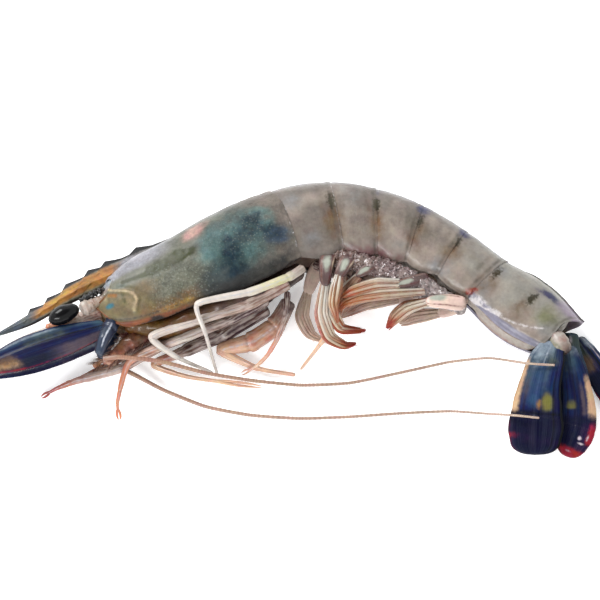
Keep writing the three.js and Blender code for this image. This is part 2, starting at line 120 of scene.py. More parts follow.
SWIMMERETS = {
    "left_swimmeret_1": (
        [[8.4, 14, 13.5], [7.4, 9, 15.6], [7, 2.5, 15]],
        [[[7, 4, 15], [5.9, -4.5, 12.6], [8.2, -10, 8.4], [12.5, -11.4, 5.2], [15.8, -10.4, 4]],
         [[7.8, 4, 14.6], [8.8, -3.5, 12], [11.6, -7.6, 8.4], [18.5, -7, 5]]]),
    "left_swimmeret_2": (
        [[14.6, 13, 13.5], [12.6, 9, 16], [10.6, 4.4, 16.6]],
        [[[11, 5.4, 16.6], [10.2, 1.5, 16.6], [9.4, -3, 15.2], [10.6, -7.4, 12.6]]]),
    "left_swimmeret_3": (
        [[22.5, 9.6, 14], [19.6, 8.2, 15.4], [15.6, 5.6, 15.2]],
        [[[16.4, 5.8, 14.8], [13.4, 2.6, 12.8], [11, -1.2, 11.6], [10.8, -4, 10.6]]]),
    "left_swimmeret_4": (
        [[36, 6.4, 12.8], [31.5, 4.4, 14.4], [26.5, 3, 14.8]],
        [[[35, 1.6, 13.4], [28, 0.8, 14.2], [22.4, 0.3, 14.4], [16.8, -0.4, 14], [12.6, -1.6, 13],
          [10.4, -3.6, 12]],
         [[28, 3.4, 14.8], [21.5, 3.2, 14.8], [14.6, 1.2, 14.6], [11.5, -0.3, 14.2]]]),
    "left_swimmeret_5": (
        [[46.5, -1.5, 11.8], [41, -1.2, 13], [35, -1.2, 13]],
        [[[36.5, -1.3, 13], [30, -2.6, 11.4], [26.5, -4.5, 8.6], [24.4, -6.6, 5.6]]]),
    "right_swimmeret_1": (
        [[6, 14, 4.6], [3.6, 9, 4.2], [2, 4, 4]],
        [[[2.2, 5, 4], [0.6, -2, 3.2], [3, -7, 2], [8, -9, 1]]]),
    "right_swimmeret_2": (
        [[15, 14, 6.4], [12, 9, 6.2], [9.4, 4.5, 6]],
        [[[9.8, 5.4, 6], [8, 0, 5.4], [7.4, -2.6, 4.8]]]),
    "right_swimmeret_3": (
        [[26, 13, 6.2], [21, 8.6, 6.4], [16.4, 5.4, 6.4]],
        [[[17.2, 5.8, 6.4], [13.6, 2, 5.8], [11.6, -1, 5.2]]]),
    "right_swimmeret_4": (
        [[38, 9, 5], [33, 4.6, 3.8], [27.6, 2.6, 3.2]],
        [[[28.6, 3, 3.2], [18, 1.5, 2.4], [11, -1.5, 1.3]]]),
    "right_swimmeret_5": (
        [[47, 5, 4.6], [43.4, 0.6, 3.6], [38.6, -1.4, 3]],
        [[[39.6, -1.2, 3], [32, -2, 2], [28, -3.5, 1]]]),
}

ANTENNAE = {
    "left_antenna": [[-54.8, -18.4, 14.2], [-50, -17.8, 13.5], [-39, -18, 10.5], [-26.5, -20, 6.5],
                     [-14, -21, 3], [0, -21.7, 0.8], [14, -21, 0.7], [28, -18, 0.7], [42, -15, 1.2],
                     [53, -15, 4.6], [63.5, -18.6, 10.4], [71, -19.3, 11]],
    "right_antenna": [[-55, -16.6, 6.6], [-51, -17.6, 5], [-45, -20.2, 3.2], [-38, -23.5, 1.5],
                      [-26.5, -28, 0.8], [-14, -30.5, 0.7], [0, -31.5, 0.7], [14, -31, 0.7],
                      [28, -30, 0.7], [42, -29.5, 1], [52, -31, 3.4], [60, -33, 7.8], [66.5, -34, 8.6]],
}
ANTENNA_HALF = [0.72, 0.54, 0.44, 0.38, 0.32]
RING_SPACING = 0.9

HEAD = {
    "left": {
        "eyestalk": [[-54, 0, 12.6], [-58, -2.6, 14.2], [-61, -4.4, 15.4]],
        "eye": [-65.8, -6, 16],
        "antenna_base": [[-52, -6, 14], [-53, -9.4, 15.2], [-54.6, -13.4, 16], [-56, -17.6, 14.8]],
        "scale": [[-54, -9.2, 14.2], [-64, -12.8, 14.8], [-76, -16.8, 14.2], [-88, -20.7, 12.4]],
        "antennule": [[-55, -3.4, 11.8], [-62, -5.8, 11.9], [-71, -8.8, 11.8]],
        "whip": [[-70, -8.5, 11.8], [-79, -12.6, 11.6], [-89, -18.4, 10.6]],
        "scale_lean": [0, -0.2],
    },
    "right": {
        "eyestalk": [[-54, 0, 7.6], [-58, -2.4, 6], [-61, -4.2, 4.8]],
        "eye": [-65.8, -5.8, 4.2],
        "antenna_base": [[-52, -5, 6.2], [-53, -9, 6], [-54.6, -12.4, 6.4], [-56, -15.8, 6.6]],
        "scale": [[-54, -9, 6.2], [-64, -11.6, 5.8], [-76, -15.6, 5.2], [-88, -19.5, 4]],
        "antennule": [[-55, -3, 8.2], [-62, -7, 8.2], [-71, -10, 8.4]],
        "whip": [[-70, -9.6, 8.4], [-80, -14, 8.2], [-88, -18, 7.4]],
        "scale_lean": [0, 0.2],
    },
}
SCALE_HALF = [2.4, 4, 4.8, 4.4, 2.2]
EYE_HALF = np.array([4.6, 2.6, 2.8])
EYE_TURN = 0.5

JAW_FEET = {
    "left_jaw_foot": ([[-34, -4, 10.4], [-42.6, -9, 10], [-48, -12.8, 10.8], [-54, -18, 8.6]],
                      [2, 2.4, 2.2, 0.8], [1.2, 1.3, 1.2, 0.6]),
    "right_jaw_foot": ([[-34, -5, 7.4], [-42, -9, 7], [-50, -12.4, 5.8], [-58, -17.4, 4.2]],
                       [1.3, 1.3, 1.1, 0.6], [0.9, 0.9, 0.8, 0.5]),
}
UNDERSIDE = [[-49, -7.4, PLANE], [-37.5, -8.2, PLANE], [-24, -3.4, PLANE], [-11, 2.2, PLANE], [1, 9.8, PLANE]]

FAN_BASES = {"left_fan_base": [72.6, -11.8, 8.8], "right_fan_base": [75, -10.6, 3]}
FAN_BASE_HALF = np.array([3.8, 2.8, 2.5])
FAN_BASE_TURN = -0.9
INNER_HALF = [2, 3.2, 4.2, 4.9, 5.3, 5, 3.2]
TELSON = ([[74.4, -8, 6], [76, -22, 4.9], [77.5, -38.5, 3]], [3.6, 3, 0.8])
PADDLES = {
    "left_outer_fan": ([[71, -12, 9.8], [68.4, -18.5, 9.4], [66.5, -26, 8], [65.7, -34, 6.2],
                        [65.3, -43.8, 4.2]], [3.2, 4.8, 5.5, 6.2, 7.1, 7.8, 6.4], [0.1, 0.2]),
    "left_inner_fan": ([[75, -12.6, 8], [76.2, -20, 7], [77.4, -28.6, 5.6], [77, -36.3, 4.5],
                        [74, -43.8, 3]], INNER_HALF, [0, 0]),
    "right_inner_fan": ([[76.4, -11, 4.2], [77.2, -20, 3.4], [77.4, -29, 2.4], [76.8, -36, 1.8],
                         [75.2, -42.8, 1]], INNER_HALF, [0, 0]),
    "right_outer_fan": ([[77.4, -8.6, 2.8], [81.2, -14.2, 2.2], [85, -20, 1.5], [88.6, -25.6, 1],
                         [91.8, -31, 0.7]], [2.4, 3.2, 3.6, 4, 4.4, 4.4, 2.8], [0, 0]),
}
BLADE_THICK = 0.42  # half of a thin blade's thickness
LIMB_PULL = 0.3  # how far a limb's route is rounded off at its points

# ---- Curves and fields ---------------------------------------------------------------------------


def spline(values, share, pull=0.5, held=False, spaced=False):
    """The place at each share along a smooth curve through the values.

    A held curve starts and ends slowly, and a spaced one allows for uneven steps between the values.
    """
    values = np.asarray(values, float)
    if values.ndim == 1:
        values = values[:, None]
    share = np.atleast_1d(share)
    last = len(values) - 1
    place = np.clip(share, 0, 1) * last
    i = np.minimum(place.astype(int), last - 1)
    w = (place - i)[:, None]
    before = values[0] if held else 2 * values[0] - values[1]
    after = values[-1] if held else 2 * values[-1] - values[-2]
    padded = np.vstack([before, values, after])
    a, b, c, d = (padded[i + k] for k in range(4))
    if spaced:
        ab, bc, cd = (np.linalg.norm(q - p, axis=1)[:, None] ** 0.5 for p, q in ((a, b), (b, c), (c, d)))
        leave = ((b - a) / ab - (c - a) / (ab + bc) + (c - b) / bc) * bc
        arrive = ((c - b) / bc - (d - b) / (bc + cd) + (d - c) / cd) * bc
    else:
        leave, arrive = pull * (c - a), pull * (d - b)
    return ((2 * w**3 - 3 * w**2 + 1) * b + (w**3 - 2 * w**2 + w) * leave
            + (3 * w**2 - 2 * w**3) * c + (w**3 - w**2) * arrive)


def bell(x, middle, width):
    """1 at the middle, falling smoothly to 0 over about two widths."""
    return np.exp(-(((x - middle) / width) ** 2))


def ramp(x, low, high):
    """0 below low and 1 above high, with a smooth step between them. It falls where low is above high."""
    share = np.clip((x - low) / (high - low), 0, 1)
    return share * share * (3 - 2 * share)


def stroke(points, path, width):
    """A brush line over the side of the prawn: 1 along the path in X and Y, falling off over its width."""
    away = np.full(points.shape[:-1], np.inf)
    for start, end in zip(path, path[1:]):
        start, step = np.array(start, float), np.subtract(end, start)
        share = np.clip((points[..., :2] - start) @ step / (step @ step), 0, 1)
        away = np.minimum(away, np.linalg.norm(points[..., :2] - start - share[..., None] * step, axis=-1))
    return bell(away, 0, width)


def blot(points, middle, reach, turn=0.0):
    """A soft oval patch on the side of the prawn, its long way turned about Z."""
    x = points[..., 0] - middle[0]
    y = points[..., 1] - middle[1]
    along = (x * math.cos(turn) + y * math.sin(turn)) / reach[0]
    across = (y * math.cos(turn) - x * math.sin(turn)) / reach[1]
    return np.exp(-((along**2 + across**2) ** 1.5))


HASH_PRIMES = (73856093, 19349663, 83492791)  # they mix a cell's place on each axis into one number
MIXER = 1274126177
LOW_BITS = 0xFFFF


def wander(points, grain, seed):
    """A smooth random value from -1 to 1 at each point. The grain is the size of its swellings."""
    place = points / grain + 37.1 * seed
    cell = np.floor(place).astype(np.int64)
    share = place - cell
    share = share * share * (3 - 2 * share)
    total = 0
    for corner in itertools.product((0, 1), repeat=3):
        at = cell + corner
        x, y, z = np.moveaxis(at * HASH_PRIMES, -1, 0)
        mixed = x ^ y ^ z
        mixed = (mixed ^ (mixed >> 13)) * MIXER
        value = (mixed & LOW_BITS) / (LOW_BITS / 2) - 1
        total = total + value * np.prod(np.where(corner, share, 1 - share), axis=-1)
    return total


# ---- Shapes: points, faces and the masks painted on them -----------------------------------------

# In the functions that paint a limb or lift its skin, t is the share of its length from its root, side or s
# runs from -1 to 1 across it, and top is 1 where it faces up and -1 where it faces down.

END_CROWDING = 0.45  # how much closer a limb's rings of points lie towards its round ends
END_CLOSED = 0.9998  # below 1, so that the last ring of a round end doesn't shrink to a point
HAIR_LEVELS = np.array([0, 0.35, 0.7, 1.0])  # where a hair has its rings of points, from root to tip
HAIR_SIDES = 3
ANY_WAY = [0.31, 0.52, 0.8]  # a direction that no hair has, to find the ones across it
TINY = 1e-9  # keeps a length of nothing from being divided by


def ring_faces(rows, columns):
    """Quads between a row of rings, the last column of points joined to the first."""
    row, column = np.meshgrid(np.arange(rows - 1), np.arange(columns), indexing="ij")
    beside = (column + 1) % columns
    corners = [row * columns + column, row * columns + beside,
               (row + 1) * columns + beside, (row + 1) * columns + column]
    return np.stack(corners, -1).reshape(-1, 4).tolist()


def tube(points, **masks):
    """A closed shape from a grid of rings, its two ends closed by a point in their middle."""
    rows, sides = points.shape[:2]
    faces = ring_faces(rows, sides)
    first, last = rows * sides, rows * sides + 1
    for j in range(sides):
        beside = (j + 1) % sides
        faces.append([first, beside, j])
        faces.append([last, (rows - 1) * sides + j, (rows - 1) * sides + beside])
    ends = [points[0].mean(0), points[-1].mean(0)]
    flat = {}
    for name, mask in masks.items():
        mask = np.broadcast_to(mask, (rows, sides))
        flat[name] = np.concatenate([mask.ravel(), [mask[0].mean(), mask[-1].mean()]])
    return np.vstack([points.reshape(-1, 3), ends]), faces, flat


def wrap(outer, inner, **masks):
    """A thin closed shell between two grids of points."""
    rows, columns = outer.shape[:2]
    ring = np.concatenate([outer, inner[:, ::-1]], axis=1)
    faces = ring_faces(rows, 2 * columns)
    for j in range(columns - 1):
        end = [j, 2 * columns - 1 - j, 2 * columns - 2 - j, j + 1]
        faces.append(end)
        faces.append([(rows - 1) * 2 * columns + k for k in reversed(end)])
    flat = {}
    for name, mask in masks.items():
        mask = np.broadcast_to(mask, (rows, columns))
        flat[name] = np.concatenate([mask, mask[:, ::-1]], axis=1).ravel()
    return ring.reshape(-1, 3), faces, flat


def points_of(*axes):
    """Points on one grid, from their values on each axis."""
    return np.stack(np.broadcast_arrays(*axes), axis=-1)


def patch(t, s, middle, reach):
    """A soft oval at a place across and along a blade."""
    return blot(points_of(s, t), middle, reach)


def unit_ball(rings, sides):
    """A ball's grid of points, from pole to pole along X."""
    along = np.linspace(0, math.pi, rings)[:, None]
    around = np.linspace(0, 2 * math.pi, sides, endpoint=False)[None, :]
    return points_of(-np.cos(along), np.sin(along) * np.cos(around), np.sin(along) * np.sin(around))


def turned(points, angle):
    """Points turned about Z."""
    c, s = math.cos(angle), math.sin(angle)
    return points @ np.array([[c, s, 0], [-s, c, 0], [0, 0, 1]])


def laid(points):
    """Points with none of them below the table."""
    points[..., 2] = np.maximum(points[..., 2], 0)
    return points


def joined(*shapes):
    """Several shapes as one. A mask that a shape lacks is 0 on it."""
    names = {name for _, _, masks in shapes for name in masks}
    faces = []
    shift = 0
    for points, own, _ in shapes:
        faces += [[corner + shift for corner in face] for face in own]
        shift += len(points)
    masks = {n: np.concatenate([m.get(n, np.zeros(len(p))) for p, _, m in shapes]) for n in sorted(names)}
    return np.vstack([points for points, _, _ in shapes]), faces, masks


def frames(route, share, lean=(0, 0)):
    """Along a route: the places, and the directions along it, across it and facing up from it."""
    place = spline(route, share, pull=LIMB_PULL)
    along = np.gradient(place, share, axis=0)
    along /= np.linalg.norm(along, axis=1)[:, None]
    across = np.cross(UP, along)
    across /= np.linalg.norm(across, axis=1)[:, None]
    turn = spline(lean, share, held=True)
    across = across * np.cos(turn) + np.cross(along, across) * np.sin(turn)
    return place, along, across, np.cross(along, across)


def round_end(depth):
    """The share of its full girth that a shape has at a depth into its round end, which is 1 deep."""
    return np.sqrt(1 - END_CLOSED * np.clip(1 - depth, 0, 1) ** 2)


def limb(route, half, thick, lean=(0, 0), *, sides, steps, ends=None, shape=None, relief=None, paint=None,
         **tints):
    """A tapered limb along a route, with round ends of the depths that ends gives for its root and tip.

    shape(share) scales its girth and relief(share, side, top) lifts its skin. Its masks are along, side (-1
    to 1 across it), top (1 where it faces up) and span in millimetres, one for each tint from a list of its
    values along the limb, and what paint(share, side, top) adds.
    """
    even = np.linspace(0, 1, steps)
    crowded = 0.5 - 0.5 * np.cos(math.pi * even)
    share = (1 - END_CROWDING) * even + END_CROWDING * crowded
    place, along, across, up = frames(route, share, lean)
    length = np.linalg.norm(np.diff(place, axis=0), axis=1).sum()
    root, tip = ends or (half[0], half[-1])
    girth = np.minimum(round_end(share * length / root), round_end((1 - share) * length / tip))[:, None]
    if shape is not None:
        girth = girth * shape(share)[:, None]
    angle = np.linspace(0, 2 * math.pi, sides, endpoint=False)[None, :]
    side, top = np.sin(angle), np.cos(angle)
    wide = spline(half, share, held=True) * girth
    high = spline(thick, share, held=True) * girth
    if relief is not None:
        lift = relief(share[:, None], side, top) * girth
        wide, high = wide + lift * np.abs(side), high + lift
    points = (place[:, None] + across[:, None] * (side * wide)[..., None]
              + up[:, None] * (top * high)[..., None])
    masks = {name: spline(values, share, held=True) for name, values in tints.items()}
    if paint is not None:
        masks.update(paint(share[:, None], side, top))
    return tube(laid(points), along=share[:, None], side=side, top=top, span=share[:, None] * length, **masks)


def bristles(roots, tips, bend, radius, **masks):
    """Fine tapering hairs from roots to tips, each bowed by its bend."""
    count = len(roots)
    each = len(HAIR_LEVELS) * HAIR_SIDES
    reach = tips - roots
    line = roots[:, None] + reach[:, None] * HAIR_LEVELS[None, :, None]
    line = line + bend[:, None] * (HAIR_LEVELS * HAIR_LEVELS)[None, :, None]
    first = np.cross(reach, ANY_WAY)
    first /= np.linalg.norm(first, axis=1)[:, None] + TINY
    second = np.cross(reach, first)
    second /= np.linalg.norm(second, axis=1)[:, None] + TINY
    points = []
    for angle in np.arange(HAIR_SIDES) * 2 * math.pi / HAIR_SIDES:
        out = first * math.cos(angle) + second * math.sin(angle)
        points.append(line + out[:, None] * (radius * (1 - 0.85 * HAIR_LEVELS))[None, :, None])
    points = laid(np.stack(points, axis=2))
    one = ring_faces(len(HAIR_LEVELS), HAIR_SIDES) + [[2, 1, 0], [each - 3, each - 2, each - 1]]
    faces = [[corner + each * hair for corner in face] for hair in range(count) for face in one]
    level = np.broadcast_to(HAIR_LEVELS[None, :, None], points.shape[:3]).ravel()
    return points.reshape(-1, 3), faces, {"along": level, **{name: np.full(count * each, mask, float)
                                                             for name, mask in masks.items()}}


def body_surface(station, around, grow=0.0, size=1.0, hang=0.0):
    """Places on the body: around runs from -1 (belly) by the right side, 0 (back) and the left side to 1.

    grow moves the skin outwards in millimetres, size scales the cross-section, and hang lengthens it below.
    """
    station, around, grow, size, hang = np.broadcast_arrays(station, around, grow, size, hang)
    share = station.ravel() / LAST_STATION
    back = spline(BACK, share, spaced=True)
    belly = spline(BELLY, share, spaced=True)
    half = spline(HALF, share, held=True)[:, 0]
    tall, wide = spline(SECTION, np.abs(around.ravel()), held=True).T
    reach = (back - belly) / 2
    high = np.linalg.norm(reach, axis=1)
    droop = np.where(tall < 0, 1 + hang.ravel(), 1)
    tall = tall * droop * (size.ravel() + grow.ravel() / high)
    wide = np.sign(around.ravel()) * wide * (half * size.ravel() + grow.ravel())
    points = (back + belly) / 2 + reach * tall[:, None]
    points[:, 2] = np.maximum(points[:, 2] + wide, 0)
    return points.reshape(station.shape + (3,))


# ---- Inks and shared effects ---------------------------------------------------------------------


EXPOSURE = 1.8  # the light's strength; a surface shows this much brighter than it is
FILM = 0.014  # what the wet film over every surface adds to its colour, as it mirrors the white tent


def ink(code):
    """The linear colour of a surface that shows as a six-figure screen code in the tent's light."""
    shown = np.array([int(code[i:i + 2], 16) for i in (0, 2, 4)]) / 255
    linear = np.where(shown <= 0.04045, shown / 12.92, ((shown + 0.055) / 1.055) ** 2.4)
    return (*(np.maximum(linear - FILM, 0.2 * linear) / EXPOSURE).tolist(), 1.0)


def put(tree, kind, inputs=None, **settings):
    """A node with its settings, its inputs linked or set to a value."""
    node = tree.nodes.new(kind)
    for name, value in settings.items():
        setattr(node, name, value)
    for socket, value in (inputs or {}).items():
        if isinstance(value, bpy.types.NodeSocket):
            tree.links.new(value, node.inputs[socket])
        else:
            node.inputs[socket].default_value = value
    return node


def figure(tree, way, a, b=0.5, c=0.5, clamp=False):
    """A sum worked out at each point of the surface."""
    return put(tree, "ShaderNodeMath", {0: a, 1: b, 2: c}, operation=way, use_clamp=clamp).outputs[0]


def times(tree, a, b):
    return figure(tree, "MULTIPLY", a, b)


def tint(tree, cover, under, over):
    """One colour laid over another, as far as the cover goes."""
    return put(tree, "ShaderNodeMix", {0: cover, 6: under, 7: over}, data_type="RGBA").outputs[2]


def painted(tree, mask):
    """A mask that the piece carries on its points, or 0 where it has none of that name."""
    return put(tree, "ShaderNodeAttribute", attribute_name=mask).outputs["Fac"]


def place_on(tree):
    """Where a point lies on the piece."""
    return put(tree, "ShaderNodeTexCoord").outputs["Object"]


def clouds(tree, place, scale, detail, rough=0.5):
    inputs = {"Vector": place, "Scale": scale, "Detail": detail, "Roughness": rough}
    return put(tree, "ShaderNodeTexNoise", inputs).outputs[0]


def noise(tree, size_mm, detail=2.0, rough=0.5):
    """Smooth noise whose swellings are about size_mm across."""
    return clouds(tree, place_on(tree), 1 / (size_mm * MM), detail, rough)


def smooth_step(tree, value, low, high):
    """0 below low and 1 above high, with a smooth step between them."""
    inputs = {0: value, 1: low, 2: high}
    return put(tree, "ShaderNodeMapRange", inputs, interpolation_type="SMOOTHSTEP").outputs[0]


def new_group(name, inputs, outputs):
    """An empty node group with its sockets made: inputs as {name: default}, outputs as {name: kind}."""
    tree = bpy.data.node_groups.new(name, "ShaderNodeTree")
    for label, default in inputs.items():
        kind = "NodeSocketColor" if isinstance(default, tuple) else "NodeSocketFloat"
        tree.interface.new_socket(label, in_out="INPUT", socket_type=kind).default_value = default
    for label, kind in outputs.items():
        tree.interface.new_socket(label, in_out="OUTPUT", socket_type=kind)
    return tree, tree.nodes.new("NodeGroupInput").outputs, tree.nodes.new("NodeGroupOutput").inputs


def ragged_edge_group():
    """Breaks the soft edge of a painted mask into blotches."""
    tree, given, out = new_group("ragged_edge", {"Mask": 0.0, "Raggedness": 0.5, "Scale": 800.0},
                                 {"Mask": "NodeSocketFloat"})
    grain = clouds(tree, place_on(tree), given["Scale"], 3.0, 0.55)
    swing = times(tree, figure(tree, "SUBTRACT", grain, 0.5), given["Raggedness"])
    edge = times(tree, given["Mask"], figure(tree, "SUBTRACT", 1.2, given["Mask"]))
    shifted = figure(tree, "MULTIPLY_ADD", times(tree, swing, edge), 5.0, given["Mask"])
    tree.links.new(smooth_step(tree, shifted, 0.03, 0.97), out["Mask"])
    return tree


def mottle_group():
    """Varies a colour's lightness and warmth over two grains."""
    tree, given, out = new_group("mottle", {"Color": (0.5, 0.5, 0.5, 1.0), "Strength": 0.2},
                                 {"Color": "NodeSocketColor"})
    coarse = noise(tree, 5.0, 2.0)
    fine = noise(tree, 0.9, 3.0)
    both = figure(tree, "ADD", times(tree, coarse, 0.6), times(tree, fine, 0.4))
    swing = times(tree, figure(tree, "SUBTRACT", both, 0.5), given["Strength"])
    value = figure(tree, "MULTIPLY_ADD", swing, 4.0, 1.0)
    warm = figure(tree, "MULTIPLY_ADD", figure(tree, "SUBTRACT", noise(tree, 3.0), 0.5), 0.08, 0.5)
    varied = put(tree, "ShaderNodeHueSaturation", {"Hue": warm, "Value": value, "Color": given["Color"]})
    tree.links.new(varied.outputs[0], out["Color"])
    return tree


def specks_group():
    """Small round specks at random places, as a mask."""
    tree, given, out = new_group("specks", {"Scale": 1200.0, "Size": 0.25}, {"Mask": "NodeSocketFloat"})
    cells = put(tree, "ShaderNodeTexVoronoi", {"Vector": place_on(tree), "Scale": given["Scale"]})
    inside = figure(tree, "SUBTRACT", given["Size"], cells.outputs["Distance"])
    tree.links.new(figure(tree, "MULTIPLY", inside, 12.0, clamp=True), out["Mask"])
    return tree


def net_group():
    """A net of fine wandering lines, as a mask."""
    tree, given, out = new_group("net", {"Scale": 500.0, "Width": 0.05}, {"Mask": "NodeSocketFloat"})
    grain = clouds(tree, place_on(tree), given["Scale"], 2.0)
    away = figure(tree, "ABSOLUTE", figure(tree, "SUBTRACT", grain, 0.5))
    thin = figure(tree, "DIVIDE", away, given["Width"])
    tree.links.new(figure(tree, "SUBTRACT", 1.0, thin, clamp=True), out["Mask"])
    return tree


def streaks_group():
    """Fine lines that run along a limb, from its along and side masks."""
    tree, given, out = new_group("streaks", {"Lines": 14.0, "Length": 3.0}, {"Mask": "NodeSocketFloat"})
    across = times(tree, painted(tree, "side"), given["Lines"])
    along = times(tree, painted(tree, "along"), given["Length"])
    place = put(tree, "ShaderNodeCombineXYZ", {0: across, 1: along, 2: painted(tree, "top")}).outputs[0]
    lines = clouds(tree, place, 1.0, 3.0)
    tree.links.new(smooth_step(tree, lines, 0.38, 0.62), out["Mask"])
    return tree


def rings_group():
    """Narrow rings at even spacing along a whip, from its span in millimetres."""
    tree, given, out = new_group("rings", {"Spacing": RING_SPACING}, {"Mask": "NodeSocketFloat"})
    turns = figure(tree, "DIVIDE", painted(tree, "span"), given["Spacing"])
    wave = figure(tree, "SINE", times(tree, turns, 2 * math.pi))
    tree.links.new(figure(tree, "MULTIPLY_ADD", wave, 0.5, 0.5), out["Mask"])
    return tree


def wet_relief_group():
    """The surface of wet shell: soft dents under a fine grain, as a normal."""
    tree, given, out = new_group("wet_relief", {"Dents": 0.3, "Grain": 0.2, "Extra": 0.0},
                                 {"Normal": "NodeSocketVector"})
    soft = times(tree, noise(tree, 2.2, 2.0), given["Dents"])
    fine = times(tree, noise(tree, 0.35, 3.0, rough=0.65), given["Grain"])
    height = figure(tree, "ADD", figure(tree, "ADD", soft, fine), given["Extra"])
    bump = put(tree, "ShaderNodeBump", {"Strength": 0.6, "Distance": 0.5 * MM, "Height": height})
    tree.links.new(bump.outputs[0], out["Normal"])
    return tree


EFFECTS = {
    "ragged_edge": ragged_edge_group(),
    "mottle": mottle_group(),
    "specks": specks_group(),
    "net": net_group(),
    "streaks": streaks_group(),
    "rings": rings_group(),
    "wet_relief": wet_relief_group(),
}


def use(tree, effect, **inputs):
    """A shared effect placed in a material, and its one output."""
    return put(tree, "ShaderNodeGroup", inputs, node_tree=EFFECTS[effect]).outputs[0]


def layered(tree, base, layers):
    """Paints layers over a base colour. A layer is (mask, ink, raggedness, grain in mm)."""
    colour = base
    for mask, code, raggedness, grain in layers:
        cover = use(tree, "ragged_edge", Mask=painted(tree, mask), Raggedness=raggedness,
                    Scale=1 / (grain * MM))
        colour = tint(tree, cover, colour, ink(code))
    return colour


SHARED_GLOSS = {
    "Subsurface Weight": 0.12, "Subsurface Radius": (1.0, 0.7, 0.55), "Subsurface Scale": 1.2 * MM,
    "Specular IOR Level": 0.25, "Coat Weight": 0.3, "Coat Roughness": 0.12,
}


def skin(name, paint, *, dents, grain, extra=None, mottle=0.2, rough=0.42, own=None):
    """A wet, slightly waxy surface. paint(tree) gives its colour and extra(tree) more height for its relief.

    What it has of its own stands in for the settings that the surfaces share.
    """
    material = bpy.data.materials.new(name)
    material.use_nodes = True
    tree = material.node_tree
    tree.nodes.clear()
    colour = use(tree, "mottle", Color=paint(tree), Strength=mottle)
    height = extra(tree) if extra else 0.0
    normal = use(tree, "wet_relief", Dents=dents, Grain=grain, Extra=height)
    film = figure(tree, "MULTIPLY_ADD", noise(tree, 4.0), 0.3, rough - 0.15)
    varied = {"Base Color": colour, "Normal": normal, "Roughness": film}
    body = put(tree, "ShaderNodeBsdfPrincipled", {**varied, **SHARED_GLOSS, **(own or {})})
    put(tree, "ShaderNodeOutputMaterial", {"Surface": body.outputs[0]})
    return material


# ---- Finishes ------------------------------------------------------------------------------------


def head_shell_paint(tree):
    """Greenish grey and lilac, with a dark teal patch, an olive ridge and a rusty rim."""
    base = tint(tree, noise(tree, 7.0, 3.0), ink("646659"), ink("868576"))
    colour = layered(tree, base, [
        # lilac: a grey-lilac tone, and a painted sheen along the back
        ("lilac", "a2a1a8", 0.15, 2.5),
        ("warm", "7c6e50", 0.4, 2.5),
        ("brown", "7d5f40", 0.5, 2.0),
        ("shadow", "4b5253", 0.5, 4.0),
        ("taupe", "7d736a", 0.4, 3.0),
        ("green", "76837a", 0.6, 2.0),
        ("teal", "54706f", 0.6, 3.0),
        ("slate", "46566a", 0.6, 2.5),
        ("navy", "203440", 0.9, 2.6),
        # low: painted shade along the lower rim
        ("low", "363636", 0.6, 2.4),
        ("olive", "3e4216", 0.6, 1.4),
        ("salmon", "c39a90", 0.6, 2.4),
        ("cream", "b9a684", 0.6, 1.2),
        ("orange", "a06c38", 0.5, 1.0),
        ("spot", "3c7480", 0.5, 0.8),
        ("rim", "8a5232", 0.5, 1.2),
        ("amber", "b57d42", 0.3, 1.8),
        ("gold", "cc9a48", 0.4, 1.2),
        ("dark", "2c221c", 0.6, 1.0),
        ("edge", "100f1c", 0.4, 0.7),
        ("glint", "e6e6ec", 1.2, 0.7),
    ])
    fine = times(tree, use(tree, "net", Scale=900.0, Width=0.06), 0.16)
    colour = tint(tree, fine, colour, ink("4a4c48"))
    net = times(tree, painted(tree, "speckled"), use(tree, "net", Scale=650.0, Width=0.07))
    colour = tint(tree, times(tree, net, 0.6), colour, ink("454a3c"))
    dust = times(tree, painted(tree, "speckled"), use(tree, "specks", Scale=1300.0, Size=0.34))
    return tint(tree, times(tree, dust, 0.32), colour, ink("a4aca0"))


def tail_shell_paint(tree):
    """Brownish grey, with dark stripes, blue and olive marks on them, pale edges, painted glints on the last
    plate and painted fill light on the lower sides.
    """
    base = tint(tree, noise(tree, 6.0, 3.0), ink("766b63"), ink("8a8179"))
    hoops = times(tree, use(tree, "streaks", Lines=5.0, Length=1.2), 0.3)
    base = tint(tree, hoops, base, ink("6c6259"))
    colour = layered(tree, base, [
        ("rearward", "a3a096", 0.2, 5.0),
        # lighter patches, and painted fill light on the lower sides
        ("patches_and_fill_light", "a3958a", 0.6, 3.0),
        ("cool", "8e8e90", 0.7, 3.0),
        ("green", "8a886a", 0.5, 3.0),
        ("band", "77593c", 0.7, 3.2),
        ("shade", "605850", 0.5, 3.0),
        ("lilac", "8a879a", 0.5, 3.0),
        ("mauve", "9f8fa2", 0.5, 2.5),
        ("rose", "7e5a58", 0.8, 1.8),
        ("sheen", "8c8c92", 0.3, 4.0),
        ("seam", "544c42", 0.5, 2.4),
        # pale: pale shell edges, and painted glints along the last plate's ridge
        ("pale", "e4dede", 0.9, 0.9),
        ("olive", "3c3418", 1.2, 0.8),
        ("blue", "33335c", 0.8, 1.8),
        ("red", "8c3020", 0.8, 0.9),
        ("line", "141216", 0.3, 0.8),
    ])
    hazy = times(tree, use(tree, "streaks", Lines=15.0, Length=2.0), 0.06)
    return tint(tree, hazy, colour, ink("b4b0a8"))


def flesh_paint(tree):
    """Soft brownish meat and skin."""
    base = tint(tree, noise(tree, 3.0, 3.0), ink("7c6258"), ink("9c8678"))
    return layered(tree, base, [
        ("pale", "c6bcb2", 0.5, 1.6),
        ("rose", "a88078", 0.6, 1.4),
        ("bluish", "8c98a2", 0.6, 1.4),
        ("green", "7c7c60", 0.6, 1.4),
        ("dark", "40302f", 0.5, 2.5),
        ("brown", "6a481e", 0.5, 2.0),
        ("orange", "a8683a", 0.6, 1.0),
        ("black", "0e0c10", 0.7, 0.8),
    ])


